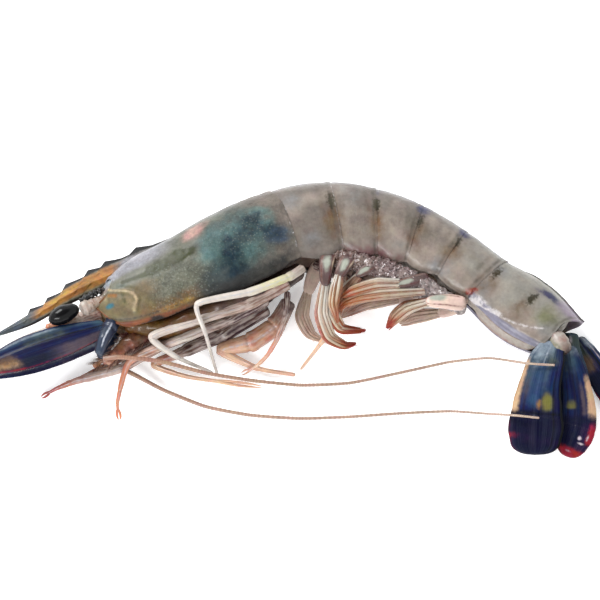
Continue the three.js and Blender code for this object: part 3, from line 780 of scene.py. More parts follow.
def leg_paint(tree):
    """Streaks of pink and cream, with darker lines along the thighs, painted shade below and a painted
    highlight on top.
    """
    base = tint(tree, use(tree, "streaks", Lines=3.5, Length=7.0), ink("a87f6c"), ink("f0d8c8"))
    colour = layered(tree, base, [
        ("cream", "eae1d7", 0.3, 3.0),
        ("mauve", "a28072", 0.8, 1.6),
        ("brown", "50300a", 0.8, 1.4),
        ("orange", "e08c62", 0.6, 2.0),
        ("peach", "fccbaa", 0.5, 2.0),
        ("red", "b85844", 0.5, 1.5),
        ("yellow", "dcd8a0", 0.6, 1.5),
        ("blue", "303c52", 0.4, 1.6),
        ("shine", "d6dae4", 0.8, 1.0),
        ("shadow", "462e34", 0.6, 2.0),
        # dark: dark joint creases, and painted shade on the limbs' undersides
        ("dark", "4a3a34", 0.5, 1.0),
    ])
    vein = times(tree, use(tree, "streaks", Lines=5.0, Length=9.0), painted(tree, "veined"))
    pale = times(tree, use(tree, "streaks", Lines=3.0, Length=14.0), painted(tree, "veined"))
    return tint(tree, pale, tint(tree, vein, colour, ink("6e4434")), ink("f0e0d6"))


def swimmeret_paint(tree):
    """Rusty and cream strands, and a darker stem with a pale oval."""
    lines = use(tree, "streaks", Lines=6.0, Length=2.5)
    base = tint(tree, lines, ink("8c5636"), ink("d4aa88"))
    return layered(tree, base, [
        ("mauve", "6c5654", 0.6, 1.2),
        ("orange", "c06a3a", 0.5, 2.0),
        ("cream", "f2d8ba", 0.3, 2.0),
        ("pink", "fbdccc", 0.5, 1.6),
        ("maroon", "602c1a", 0.6, 0.9),
        ("white", "ece8de", 0.3, 1.2),
        ("pale", "b8bcae", 0.5, 1.0),
        ("red", "b4402a", 0.5, 1.5),
    ])


def membrane_paint(tree):
    """Soft skin with dark red flecks and pale glints."""
    base = tint(tree, noise(tree, 1.6, 3.0), ink("64484a"), ink("ae9894"))
    flecks = use(tree, "specks", Scale=1300.0, Size=0.42)
    colour = tint(tree, times(tree, flecks, 0.85), base, ink("3a1814"))
    glints = use(tree, "specks", Scale=900.0, Size=0.3)
    colour = tint(tree, times(tree, glints, 0.8), colour, ink("e0d0d0"))
    return layered(tree, colour, [("pale", "c8c0bc", 0.7, 1.2), ("brown", "6e4c36", 0.6, 1.2)])


def fan_paint(tree):
    """Dark blue blades with yellow spots, and pale and red edges."""
    lines = use(tree, "streaks", Lines=6.0, Length=1.2)
    base = tint(tree, lines, ink("101840"), ink("1c3058"))
    colour = layered(tree, base, [
        ("slate", "465a6e", 0.5, 2.2),
        ("steel", "34496e", 0.5, 2.0),
        ("mist", "93a0ac", 0.6, 1.8),
        ("green", "4c5650", 0.6, 1.6),
        ("grey", "5c5058", 0.5, 2.0),
        ("brown", "6c5648", 0.6, 1.6),
        ("deep", "0a1c34", 0.4, 2.0),
        ("spot", "7c7840", 0.4, 1.6),
        ("night", "0a0e36", 0.3, 2.0),
        ("purple", "2e1840", 0.6, 1.6),
        ("cream", "d4b08c", 0.5, 1.3),
        ("red", "a02c3c", 0.6, 1.2),
        ("rust", "965434", 0.6, 1.2),
        ("gold", "a8824c", 0.6, 1.2),
        ("pale", "dcccd4", 0.6, 0.8),
        ("line", "04050c", 0.3, 1.0),
    ])
    fibres = times(tree, use(tree, "streaks", Lines=22.0, Length=1.6), 0.03)
    return tint(tree, fibres, colour, ink("8c98a8"))


def antenna_paint(tree):
    """A pale pink whip with darker rings, painted shade below and a painted highlight near its root."""
    base = tint(tree, painted(tree, "along"), ink("b98a72"), ink("cbb2a0"))
    ringed = tint(tree, times(tree, use(tree, "rings"), 0.25), base, ink("6c4c3e"))
    under = tint(tree, painted(tree, "under"), ringed, ink("6e4438"))
    return layered(tree, under, [("red", "8c3428", 0.3, 1.0), ("pale", "e0d4c8", 0.3, 1.0)])


def eye_paint(tree):
    """Nearly black."""
    return tint(tree, noise(tree, 1.6, 2.0), ink("0b0a0e"), ink("1c1822"))


def setae_paint(tree):
    """Fine hairs, pale towards their tips."""
    base = tint(tree, painted(tree, "along"), ink("9a6450"), ink("dcc0a8"))
    return layered(tree, base, [("pale", "e4dcd4", 0.2, 1.0), ("maroon", "5c3430", 0.2, 1.0),
                                ("red", "a84a34", 0.2, 1.0)])


def facets(tree):
    """The eye's tiny facets, as height."""
    cells = put(tree, "ShaderNodeTexVoronoi", {"Vector": place_on(tree), "Scale": 6000.0}).outputs["Distance"]
    return times(tree, cells, 0.04)


def ribs(tree):
    """Fine raised lines along a blade, as height."""
    return times(tree, use(tree, "streaks", Lines=16.0, Length=1.0), 0.18)


FINISH = {
    "head_shell": skin("wet_head_shell", head_shell_paint, dents=0.3, grain=0.35, mottle=0.5,
                       own={"Specular IOR Level": 0.18, "Coat Weight": 0.18, "Coat Roughness": 0.3}),
    "tail_shell": skin("wet_tail_shell", tail_shell_paint, dents=0.3, grain=0.25, mottle=0.3, rough=0.46,
                       own={"Coat Roughness": 0.22}),
    "flesh": skin("moist_flesh", flesh_paint, dents=0.9, grain=0.4),
    "eye": skin("black_eye", eye_paint, dents=0.0, grain=0.0, extra=facets, mottle=0.05, rough=0.5,
                own={"Specular IOR Level": 0.05, "Coat Roughness": 0.03, "Subsurface Weight": 0.0}),
    "leg": skin("leg_shell", leg_paint, dents=0.5, grain=0.3),
    "swimmeret": skin("swimmeret_skin", swimmeret_paint, dents=0.7, grain=0.3, extra=ribs, rough=0.34),
    "membrane": skin("speckled_membrane", membrane_paint, dents=1.2, grain=1.6, rough=0.25,
                     own={"Coat Weight": 0.8, "Coat Roughness": 0.06}),
    "fan": skin("fan_blade", fan_paint, dents=0.25, grain=0.2, extra=ribs, rough=0.4,
                own={"Specular IOR Level": 0.1, "Coat Weight": 0.12, "Subsurface Weight": 0.0}),
    "antenna": skin("antenna_whip", antenna_paint, dents=0.1, grain=0.2, rough=0.5),
    "setae": skin("fine_hair", setae_paint, dents=0.0, grain=0.0, rough=0.6,
                  own={"Coat Weight": 0.0, "Subsurface Weight": 0.0}),
}


CREASE_ANGLE = math.radians(70)  # faces that meet at more than this keep a sharp edge between them


def piece(name, shape, finish, nodes=()):
    """Makes a shape a piece of the prawn, in metres over the origin, in place of its solids."""
    points, faces, masks = shape
    mesh = bpy.data.meshes.new(name)
    mesh.from_pydata(((points - CENTRE) * MM).tolist(), [], faces)
    for mask, values in masks.items():
        layer = mesh.attributes.new(mask, "FLOAT", "POINT")
        layer.data.foreach_set("value", np.ascontiguousarray(values, np.float32))
    mesh.shade_smooth()
    mesh.set_sharp_from_angle(angle=CREASE_ANGLE)
    thing = bpy.data.objects.new(name, mesh)
    bpy.context.scene.collection.objects.link(thing)
    mesh.materials.append(FINISH[finish])
    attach(thing, "root")
    if nodes:
        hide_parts(*nodes)


# ---- Head shell and rostrum ----------------------------------------------------------------------

# Where the head shell's front edge lies, in stations, at shares of the way from back to rim: the eye's
# notch, the spine beside the antenna, and the round lower corner.
FRONT_EDGE = [(0, 0.3), (0.2, 0.46), (0.36, 0.62), (0.5, 0.5), (0.6, 0.26), (0.67, 0.08), (0.73, 0.03),
              (0.79, 0.14), (0.86, 0.42), (0.93, 0.85), (1, 1.35)]
FRONT_STEP = 12  # millimetres from one station to the next at the head shell's front
REAR_BULGE = 0.1  # how far, in stations, the head shell's rear edge bulges over the tail
SHELL_THICK = 0.45
CHEEK_DROP = 0.13  # share of the half height that the head shell's sides hang down
SHELL_DROP = 0.12  # how far the shells' relief is drawn in, so that it stays within the solids' box
CHEEK_ARC = [(-54.5, 1.4), (-52, 0.6), (-48.7, 0.2), (-46.6, -0.6), (-45.3, -2.5), (-46, -5.4)]


def cheek_hang(station):
    """How far the head shell's sides hang below the belly line, in front of the tail."""
    return CHEEK_DROP * ramp(station, 2.5, 3.2) * ramp(station, 4, 3.6)


def head_shell():
    """The carapace: one curved shell over the head, open below, with its raised rim and cheek."""
    rows, columns = 190, 181
    share = np.linspace(0, 1, rows)[:, None]
    around = np.linspace(-RIM, RIM, columns)[None, :]
    down = np.abs(around) / RIM
    start = np.interp(down, *zip(*FRONT_EDGE))
    end = CARAPACE_END + REAR_BULGE * np.sin(math.pi * np.clip(down * 1.1, 0, 1)) ** 2
    station = start + (end - start) * share
    hang = cheek_hang(station)
    spot = body_surface(station, around, 0, 1, hang)
    to_front = (station - start) * FRONT_STEP
    to_rear = end - station
    rim = 0.28 * bell(down, 0.985, 0.025) * ramp(station, 0.6, 1.4) - 0.12 * bell(down, 0.93, 0.03)
    rear = 0.05 * bell(to_rear, 0.03, 0.03) - 0.05 * bell(to_rear, 0.16, 0.08)
    front = 0.3 * bell(to_front, 0.4, 0.5)
    keel = 0.5 * bell(down, 0, 0.035) * ramp(station, 3.2, 2.0)
    gutter = -0.35 * bell(down, 0.1, 0.035) * ramp(station, 3.0, 1.6)
    arc = 0.3 * stroke(spot, CHEEK_ARC, 0.6) - 0.3 * stroke(spot, np.add(CHEEK_ARC, (1.2, 0.4)), 0.7)
    waves = 0.12 * wander(spot, 4.0, 1) + 0.05 * wander(spot, 1.1, 2)
    grow = rim + rear + front + keel + gutter + arc + waves - SHELL_DROP
    outer = body_surface(station, around, grow, 1, hang)
    inner = body_surface(station, around, grow - SHELL_THICK, 1, hang)
    return wrap(outer, inner, **head_ground(spot, down, to_rear), **head_patches(spot, down, to_rear),
                **head_marks(spot, station, down, to_front))


def head_ground(spot, down, to_rear):
    """The head shell's broad tones, from its back to its sides, with a painted sheen along the back and
    painted shade along the lower rim.
    """
    x, y, z = np.moveaxis(spot, -1, 0)
    upper = ramp(z, 8, 12)
    return {
        # The second term lightens the shell along its back: a painted sheen over the grey-lilac tone.
        "lilac": np.maximum(ramp(x, -30, -46) * ramp(down, 0.46, 0.34), 0.5 * ramp(down, 0.3, 0.16)),
        "warm": 0.8 * ramp(x, -36, -44) * ramp(down, 0.5, 0.6),
        "shadow": 0.95 * np.clip(1.1 * blot(spot, (-14, 13), (14, 13))
                                 + blot(spot, (-17, 4), (12, 6), 0.4), 0, 1) * upper,
        # Painted shade along the lower rim, above the legs.
        "low": 0.8 * ramp(down, 0.74, 0.9) * ramp(x, -32, -24) * ramp(x, 2, -6),
        "taupe": np.clip(ramp(to_rear, 0.9, 0.2) * (1 - 0.5 * bell(y, 16, 4))
                         + 0.4 * ramp(x, -14, -7) * ramp(down, 0.6, 0.4), 0, 1) * upper,
        "brown": 0.9 * ramp(down, 0.68, 0.9) * ramp(x, -47, -42) * ramp(x, -22, -28),
        "speckled": np.clip(0.7 * ramp(x, -44, -39) * ramp(x, -20, -27) * ramp(y, 9, 6) * ramp(down, 1, 0.85)
                            + 0.5 * blot(spot, (-14, 16), (12, 9)), 0, 1),
    }


def head_patches(spot, down, to_rear):
    """The dark teal patch and the other coloured patches of the head shell's left side."""
    upper = ramp(spot[..., 2], 8, 12)
    uneven = 0.75 + 0.35 * wander(spot, 3.2, 4) + 0.15 * wander(spot, 1.3, 5)
    return {
        "teal": np.clip((blot(spot, (-17, 13.6), (10.5, 9.5)) + 0.8 * blot(spot, (-24.6, 12), (4.5, 4.5))
                         + 0.8 * blot(spot, (-13, 20.6), (7, 4), 0.3)) * uneven, 0, 0.95) * upper,
        "navy": 0.8 * np.clip((blot(spot, (-19, 12.6), (3, 5), -0.1)
                               + 0.9 * blot(spot, (-17.8, 5.6), (4, 4.4))
                               + 0.8 * blot(spot, (-13.4, 21), (5, 2.2), 0.2)
                               + 0.6 * blot(spot, (-9, 17), (5, 3))
                               + 0.8 * blot(spot, (-14.6, 16.4), (2.4, 3.6))) * (0.3 + uneven), 0, 1) * upper,
        "slate": 0.8 * blot(spot, (-6.2, 16.4), (3.8, 3.4), 0.2) * upper,
        "green": np.clip(0.9 * blot(spot, (-12.6, 24), (3, 1)) + 0.8 * blot(spot, (-9, 22.8), (1.8, 0.9))
                         + 0.7 * blot(spot, (-26.4, 9.4), (3.4, 2.6))
                         + 0.5 * blot(spot, (-50, 1.8), (2, 1)), 0, 1),
        "salmon": 0.85 * np.clip((blot(spot, (-30.3, 16.9), (3.2, 2.2), 0.6)
                                  + 0.6 * blot(spot, (-27.4, 19.8), (2.6, 1.3), 0.6)) * (0.3 + uneven), 0, 1)
        * upper,
        "glint": 0.6 * bell(to_rear, 0.0, 0.025) * ramp(down, 0.35, 0.5) * ramp(down, 0.98, 0.9)
        * ramp(wander(spot, 0.6, 9), 0.0, 0.6) * upper,
    }


def head_marks(spot, station, down, to_front):
    """The ridge, the cheek's arc and the coloured edges of the head shell."""
    x = spot[..., 0]
    return {
        "olive": np.clip(1.1 * stroke(spot, [(-49.5, 2.7), (-43.7, 4.5), (-40.5, 6.3)], 0.7)
                         + 1.4 * stroke(spot, [(-41.2, 6), (-36.3, 8.5), (-34, 9.8)], 1.7)
                         + 1.3 * stroke(spot, [(-34, 10), (-30.3, 11.3)], 1.4)
                         + 0.6 * stroke(spot, [(-49.4, -1), (-48.6, -3.8)], 0.7), 0, 1),
        "cream": np.clip(0.8 * stroke(spot, CHEEK_ARC, 0.5) + 0.5 * blot(spot, (-54.6, -1), (1.2, 2))
                         + 0.35 * blot(spot, (-47.4, -4), (1.4, 2)), 0, 1),
        "orange": 0.9 * stroke(spot, [(-53.4, -0.6), (-51.4, -1)], 0.6),
        "spot": blot(spot, (-52.9, -3.8), (1.3, 0.9), 0.3),
        "rim": np.clip(0.9 * bell(down, 0.955, 0.035) * ramp(x, -29, -33)
                       + ramp(down, 0.9, 0.96) * ramp(x, -34, -40)
                       + bell(to_front, 0.4, 1.3) * ramp(down, 0.5, 0.6), 0, 1),
        "gold": 0.5 * stroke(spot, [(-30, -2.2), (-35, -4.4), (-38.5, -5.6)], 0.7),
        "dark": np.clip(0.9 * stroke(spot, [(-41, -7.6), (-38.6, -7.1)], 0.6)
                        + 0.5 * bell(down, 0.885, 0.018) * ramp(x, -31, -35)
                        + 0.8 * bell(down, 0.99, 0.03) * ramp(station, 1.2, 1.8), 0, 1),
    }


def rostrum():
    """The saw-toothed blade over the eyes: thick along its rib, sharp above and below."""
    fine = np.linspace(0, 1, 2001)
    along_x = spline(ROSTRUM_TOP, fine, held=True)[:, 0]
    tips = np.interp(TEETH, along_x, fine)
    share = np.unique(np.concatenate([np.linspace(0, 1, 260), tips, tips - TOOTH_EDGE]))
    top = spline(ROSTRUM_TOP, share, held=True)
    foot = spline(ROSTRUM_FOOT, share, held=True)
    rise = np.zeros(len(share))
    for tooth in TEETH:
        behind = top[:, 0] - tooth
        here = (behind > TOOTH_START) & (behind < TOOTH_LENGTH)
        rise[here] = (1 - behind[here] / TOOTH_LENGTH) ** 1.3
    top = top + np.stack([-0.5 * rise, TOOTH_HEIGHT * rise], axis=1)
    up = np.linspace(0, 1, 27)[None, :]
    flat = foot[:, None] + (top - foot)[:, None] * up[..., None]
    thick = 0.25 + 0.75 * np.sqrt(ramp(share, 0, 0.25)) + 1.2 * ramp(share, 0.55, 1)
    lens = np.sin(math.pi * up**0.72) ** 0.75 + 0.35 * bell(up, 0.42, 0.06) - 0.2 * bell(up, 0.62, 0.08)
    half = thick[:, None] * lens * (1 - 0.4 * rise[:, None] * up) + 0.03
    sides = [np.concatenate([flat, (PLANE + way * half)[..., None]], axis=-1) for way in (1, -1)]
    x = flat[..., 0]
    blade_x = ramp(x, -77, -71) * ramp(x, -48, -55)
    masks = {
        "amber": ramp(up, 0.1, 0.28) * ramp(up, 0.9, 0.76) * blade_x,
        "gold": 0.9 * bell(up, 0.6, 0.14) * ramp(x, -76, -70) * ramp(x, -56, -64),
        "lilac": ramp(x, -56, -49) * ramp(up, 0.95, 0.8),
        "edge": np.clip(ramp(up, 0.86, 0.93) * 0.9 + ramp(up, 0.7, 0.86) * rise[:, None] * 1.4, 0, 1)
        * ramp(x, -82, -76),
        "dark": 0.9 * bell(up, 0.04, 0.06) * ramp(x, -80, -76) * ramp(x, -50, -56),
        "cream": 0.6 * bell(up, 0.17, 0.05) * blade_x,
        "taupe": 0.5 * bell(up, 0.82, 0.08) * ramp(x, -76, -70),
        "slate": 0.6 * ramp(x, -68, -74),
    }
    return wrap(sides[0], sides[1], **masks)


def head_core():
    """What fills the head under its shell, and shows at the eye notches and below the rim."""
    rows, sides = 90, 96
    front = 0.1
    share = np.linspace(0, 1, rows)[:, None]
    around = np.linspace(-1, 1, sides, endpoint=False)[None, :]
    station = front + (CARAPACE_END + 0.15 - front) * share
    size = round_end(share / 0.07)
    spot = body_surface(station, around)
    grow = -0.9 + 0.35 * wander(spot, 1.2, 3)
    points = body_surface(station, around, grow * size, size, cheek_hang(station))
    down = np.abs(around)
    return tube(points, brown=0.8 * ramp(share, 0.4, 0.3) * ramp(down, 0.6, 0.8),
                bluish=ramp(share, 0.2, 0.12) * ramp(down, 0.4, 0.2), pale=0.5 * ramp(share, 0.15, 0.05),
                green=0.8 * ramp(share, 0.22, 0.1) * ramp(down, 0.3, 0.45))


piece("head_shell", head_shell(), "head_shell", ["carapace"])
piece("rostrum_blade", rostrum(), "head_shell", ["carapace"])
piece("head_core", head_core(), "flesh", ["carapace"])

# ---- Tail ----------------------------------------------------------------------------------------

TUCK = 0.02  # how much smaller a tail shell is where it slips under the one before it
LOBE = 0.12  # share of the half height that a tail shell's side hangs down in a round lobe
OVERLAP = 0.12  # stations that each tail shell reaches under the one before it
REAR_REACH = 0.05  # stations that it reaches past its segment's end
LAST_TRIM = 0.03  # stations that the last one stops short of it
PLATE_LINE = [(47.6, 0.1), (52, -3), (56, -5.2), (60, -7), (64.4, -8.2), (68, -8.4)]  # the last plate's ridge
STRIPES = [4.95, 6.04, 7.1, 8.06, 9.14, 10.02]  # where the dark stripes lie, in stations
REAR_NOTCH = 0.13  # how deep the last segment's rear edge is cut in over the fan's joint, in stations


def tail_shell(index, end):
    """One shell of the tail, from under the one before it to its own rear edge."""
    rows, columns = 76, 161
    first = SEGMENT_ENDS[index - 1] if index else CARAPACE_END
    last = index == len(SEGMENT_ENDS) - 1
    span = end - first
    reach = -LAST_TRIM if last else REAR_REACH
    share = np.linspace(-OVERLAP / span, 1 + reach / span, rows)[:, None]
    around = np.linspace(-RIM, RIM, columns)[None, :]
    down = np.abs(around) / RIM
    notch = REAR_NOTCH * bell(down, 0.42, 0.2) * np.clip(share, 0, 1) ** 4 * last
    station = first + span * share - notch
    hang = 0 if last else LOBE * np.sin(math.pi * np.clip(share, 0, 1))
    size = 1 - TUCK * ramp(share, 0.24, 0)
    spot = body_surface(station, around, 0, size, hang)
    edge = (share.max() - share) * span
    crease = (0.05 * bell(edge, 0.02, 0.04) - 0.05 * bell(edge, 0.13, 0.06)
              - 0.03 * bell(share * span, 0.2, 0.06))
    keel = (0.75 * last + 0.2 * (index == 4)) * bell(down, 0, 0.02) * ramp(share, 0.05, 0.3)
    lower = 0.12 * bell(down, 0.985, 0.02) - 0.08 * bell(down, 0.95, 0.03)
    plate = 0.4 * stroke(spot, PLATE_LINE, 0.7) - 0.3 * ramp(down, 0.8, 0.88)
    plate = plate * last * ramp(spot[..., 2], 5, 8)
    grow = crease + keel + lower + plate + 0.13 * wander(spot, 3.5, 5 + index) + 0.04 * wander(spot, 1.0, 6)
    grow = grow - SHELL_DROP
    outer = body_surface(station, around, grow, size, hang)
    inner = body_surface(station, around, grow - SHELL_THICK, size, hang)
    return wrap(outer, inner, side=station / 2 + 0.08 * down, along=down,
                **tail_ground(spot, station, down, edge), **tail_stripes(spot, station, down, last),
                **tail_marks(spot, station, down, edge, last))


def tail_ground(spot, station, down, edge):
    """The broad shades that all the tail's shells have."""
    return {
        "rearward": ramp(station, 6.5, 9.8),
        # Random lighter patches, and painted fill light that lightens the lower sides of the shells from the
        # second one back.
        "patches_and_fill_light": np.clip((0.3 + 0.7 * wander(spot, 5.0, 14)) * ramp(down, 0.2, 0.4)
                          + 0.9 * ramp(down, 0.5, 0.85) * ramp(station, 5.4, 7), 0, 1),
        "cool": np.clip(0.8 * wander(spot, 6.0, 15), 0, 0.6) * ramp(down, 0.2, 0.4),
        "shade": 0.5 * ramp(down, 0.86, 0.97) * ramp(station, 7, 5.5) + 0.4 * bell(edge, 0.0, 0.05),
        "rose": 0.9 * ramp(down, 0.76, 0.95) * ramp(station, 7.6, 6) * ramp(station, 4.6, 5.4),
        "sheen": 0.8 * ramp(down, 0.3, 0.12) * ramp(station, 10, 9),
        "seam": 0.55 * bell(edge, 0.08, 0.06) + 0.35 * bell(edge, 0.26, 0.1) * bell(down, 0.5, 0.3),
    }


def tail_stripes(spot, station, down, last):
    """The dark stripe across each shell: blue on the back, olive below it, and a brown band down the side."""
    near = np.min([np.abs(station - k) for k in STRIPES], axis=0)
    lean = near + 0.03 * wander(spot, 2.0, 12)
    blue = bell(lean, 0, 0.15) * bell(down, 0.27, 0.1) * ramp(station, 5.5, 7) * ramp(station, 8.9, 8.5)
    if last:
        slant = down - 0.12 * (10.2 - station)
        blue = blue * ramp(station, 9.3, 9.1) + bell(station, 10.2, 0.26) * bell(slant, 0.29, 0.07)
    return {
        "blue": np.clip(blue, 0, 1),
        "olive": np.clip(1.2 * bell(lean, 0, 0.08) * bell(down, 0.46, 0.08), 0, 1),
        "band": bell(lean, 0, 0.24) * bell(down, 0.62, 0.2) * (1.1 - 0.06 * station),
    }


def tail_marks(spot, station, down, edge, last):
    """The red spot by the last plate, the pale shell edges, the painted glints along the last plate's ridge
    and what only the last shell has.
    """
    left = ramp(spot[..., 2], 5, 8)
    # Painted glints: pale streaks and blots along the last plate's ridge.
    ridge = np.clip(0.6 * stroke(spot, PLATE_LINE, 0.3) + 0.8 * blot(spot, (49.6, -0.4), (2.6, 1.1), -0.5)
                    + 0.6 * blot(spot, (54.5, -3.6), (2.6, 0.5), -0.5), 0, 1)
    rear = 0.9 * bell(edge, 0.0, 0.025) * ramp(down, 0.3, 0.5) * ramp(down, 0.85, 0.7)
    return {
        "pale": ridge * last * left + 0.35 * bell(edge, 0.0, 0.02) * ramp(station, 7, 5),
        "red": blot(spot, (47.7, 2.0), (2.0, 0.9), 0.1) * ramp(spot[..., 2], 6, 9),
        "lilac": ramp(down, 0.8, 0.88) * last,
        "mauve": 0.8 * ramp(down, 0.42, 0.26) * ramp(station, 10.2, 10.6) * last,
        "green": 0.8 * bell(station, 10.5, 0.3) * bell(down, 0.5, 0.14) * last,
        "line": np.clip(bell(down, 0.0, 0.02) * ramp(station, 9.2, 9.6) * last + rear * last, 0, 1),
    }


def tail_core():
    """The meat inside the tail, with a rib across its belly between each pair of swimmerets."""
    rows, sides = 180, 90
    share = np.linspace(0, 1, rows)[:, None]
    around = np.linspace(-1, 1, sides, endpoint=False)[None, :]
    front, rear = CARAPACE_END - 0.25, LAST_STATION - 0.12
    station = front + (rear - front) * share
    spot = body_surface(station, around)
    down = np.abs(around)
    ribs_below = 0.7 * np.cos(2 * math.pi * station) * ramp(down, 0.8, 0.92) * ramp(station, 9.4, 8.8)
    belly = 1.25 * ramp(station, 9.1, 9.5) * ramp(down, 0.76, 0.84)
    grow = -1.1 + ribs_below + belly + 0.15 * wander(spot, 1.6, 8)
    size = round_end((1 - share) / 0.04)
    points = body_surface(station, around, grow * size, size)
    return tube(points, pale=0.75 * ramp(station, 4.5, 7), dark=0.2 * ramp(station, 6.5, 4.5),
                rose=0.6 * ramp(station, 9, 9.6) * bell(down, 0.84, 0.04))


for index, end in enumerate(SEGMENT_ENDS):
    piece(f"tail_shell_{index + 1}", tail_shell(index, end), "tail_shell", [f"tail_segment_{index + 1}"])
piece("tail_meat", tail_core(), "flesh", [f"tail_segment_{i + 1}" for i in range(len(SEGMENT_ENDS))])

MEMBRANE = [[6, 13.6, 13], [10, 12.2, 13.6], [15, 10.8, 14], [20.4, 9.2, 14], [26, 7.6, 13.6], [31, 5.6, 13],
            [36.4, 3.2, 12.4], [42, 0.2, 11.6], [46.4, -2.2, 10.6]]
MEMBRANE_DROP = 1.6  # how much lower the right side's membrane lies than a mirror image of the left one


def side_membrane(way):
    """The soft speckled skin between the tail's side plates and the swimmerets of one side."""
    route = [[x, y, z if way > 0 else 2 * PLANE - z - MEMBRANE_DROP] for x, y, z in MEMBRANE]

    def lumps(t, side, top):
        spots = points_of(t * 60, side * 4, top * 3)
        return 0.6 * wander(spots, 1.3, 21 + way) + 0.35 * wander(spots, 0.55, 23 + way)

    return limb(route, [2.2, 2.8, 2.8, 2.4, 1.8, 1.2], [1.8, 2.4, 2.4, 2.2, 1.8, 1.2], sides=40, steps=260,
                relief=lumps, pale=[0, 0, 0, 0.2, 0.4, 0.6], brown=[0.8, 0.5, 0.2, 0, 0, 0])


piece("left_side_membrane", side_membrane(1), "membrane")
piece("right_side_membrane", side_membrane(-1), "membrane")

# ---- Swimmerets ----------------------------------------------------------------------------------

STEM = {"half": [1.9, 2.2, 1.9, 1.3], "thick": [1.4, 1.5, 1.3, 0.9]}
SLIM_STEM = {"half": [1.2, 1.5, 1.4, 1.0], "thick": [1.0, 1.1, 1.0, 0.7]}
SLIM = ("left_swimmeret_3", "left_swimmeret_4")
BLADE = {"half": [1.0, 1.6, 1.4, 0.5], "thick": [0.45, 0.45, 0.4, 0.25]}
STRAND = {"half": [0.36, 0.46, 0.4, 0.16], "thick": [0.32, 0.34, 0.28, 0.12]}
OVAL_AT = [0.5, 0.6, 0.72, 0.7, 0.72]  # how far down each stem its pale oval lies
STRANDS = [(-1.25, 0.2), (-0.65, 0.45), (-0.05, 0.5), (0.55, 0.4), (1.15, 0.2)]  # how far aside and how high
STRAND_PLACES = 14  # places along a blade that a strand is led through
# How pale each of those strands is, for the swimmerets from the first pair to the last.
PALENESS = [[0.5, 0.95, 0.5, 1.0, 0.7], [0.7, 1.0, 0.3, 0.9, 0.2], [0.6, 0.3, 0.2, 0.3, 0.1],
            [1.0, 0.7, 0.3, 0.6, 0.4], [0.1, 0.5, 0.6, 0.5, 0.7]]
STRAND_SEED = 40
HAIRY_SPAN = (0.15, 0.98)  # the part of a blade's length that has hairs
SWIMMERET_HAIR_SEED = 100


def fringe(route, half, length, count, seed, radius=0.07, lean=(0, 0), **masks):
    """Hairs along both edges of a blade, leaning towards its tip."""
    draw = np.random.default_rng(seed)
    share = np.unique(draw.uniform(*HAIRY_SPAN, count))
    place, along, across, up = frames(route, share, lean)
    count = len(place)
    way = draw.choice([-1.0, 1.0], count)[:, None]
    roots = place + across * way * spline(half, share, held=True) * 0.9
    long = length * draw.uniform(0.5, 1.1, count)[:, None]
    tips = roots + (across * way * 0.6 + along * 0.8 + up * draw.uniform(-0.3, 0.3, count)[:, None]) * long
    return bristles(roots, tips, along * long * 0.3, radius, **masks)


def rimmed(t, side, top):
    """A raised rim along both edges, and a shallow groove down the middle."""
    return 0.25 * bell(np.abs(side), 0.75, 0.2) - 0.1 * bell(side, 0, 0.3)


def swimmeret_stem(name, route):
    """A flat stem with a pale oval on its outer face."""
    number = int(name[-1])
    left = name.startswith("left")
    girth = SLIM_STEM if name in SLIM else STEM

    def stem_colours(t, side, top):
        oval = patch(t, side, (-0.4 if number == 5 else 0.05, OVAL_AT[number - 1]), (0.5, 0.2))
        stripe = bell(side, 0.8, 0.12) * bell(t, 0.45, 0.25) * ramp(top, -0.3, 0.2)
        return {
            "pale": 1.1 * oval * ramp(top, 0, 0.3) * (1 if left else 0.3),
            "cream": 0.8 * stripe * (left and number < 3),
            "maroon": (0.7 * bell(np.abs(side), 0.66, 0.1) * ramp(t, 0.1, 0.3)
                       + 0.5 * ramp(t, 0.25, 0)) * left,
            "mauve": 0.95,
            "pink": 0.9 * (number == 5 or not left) + 0.3 * bell(side, -0.6, 0.2),
        }

    return limb(route, girth["half"], girth["thick"], sides=28, steps=60, ends=(2, 2.2), relief=rimmed,
                paint=stem_colours)


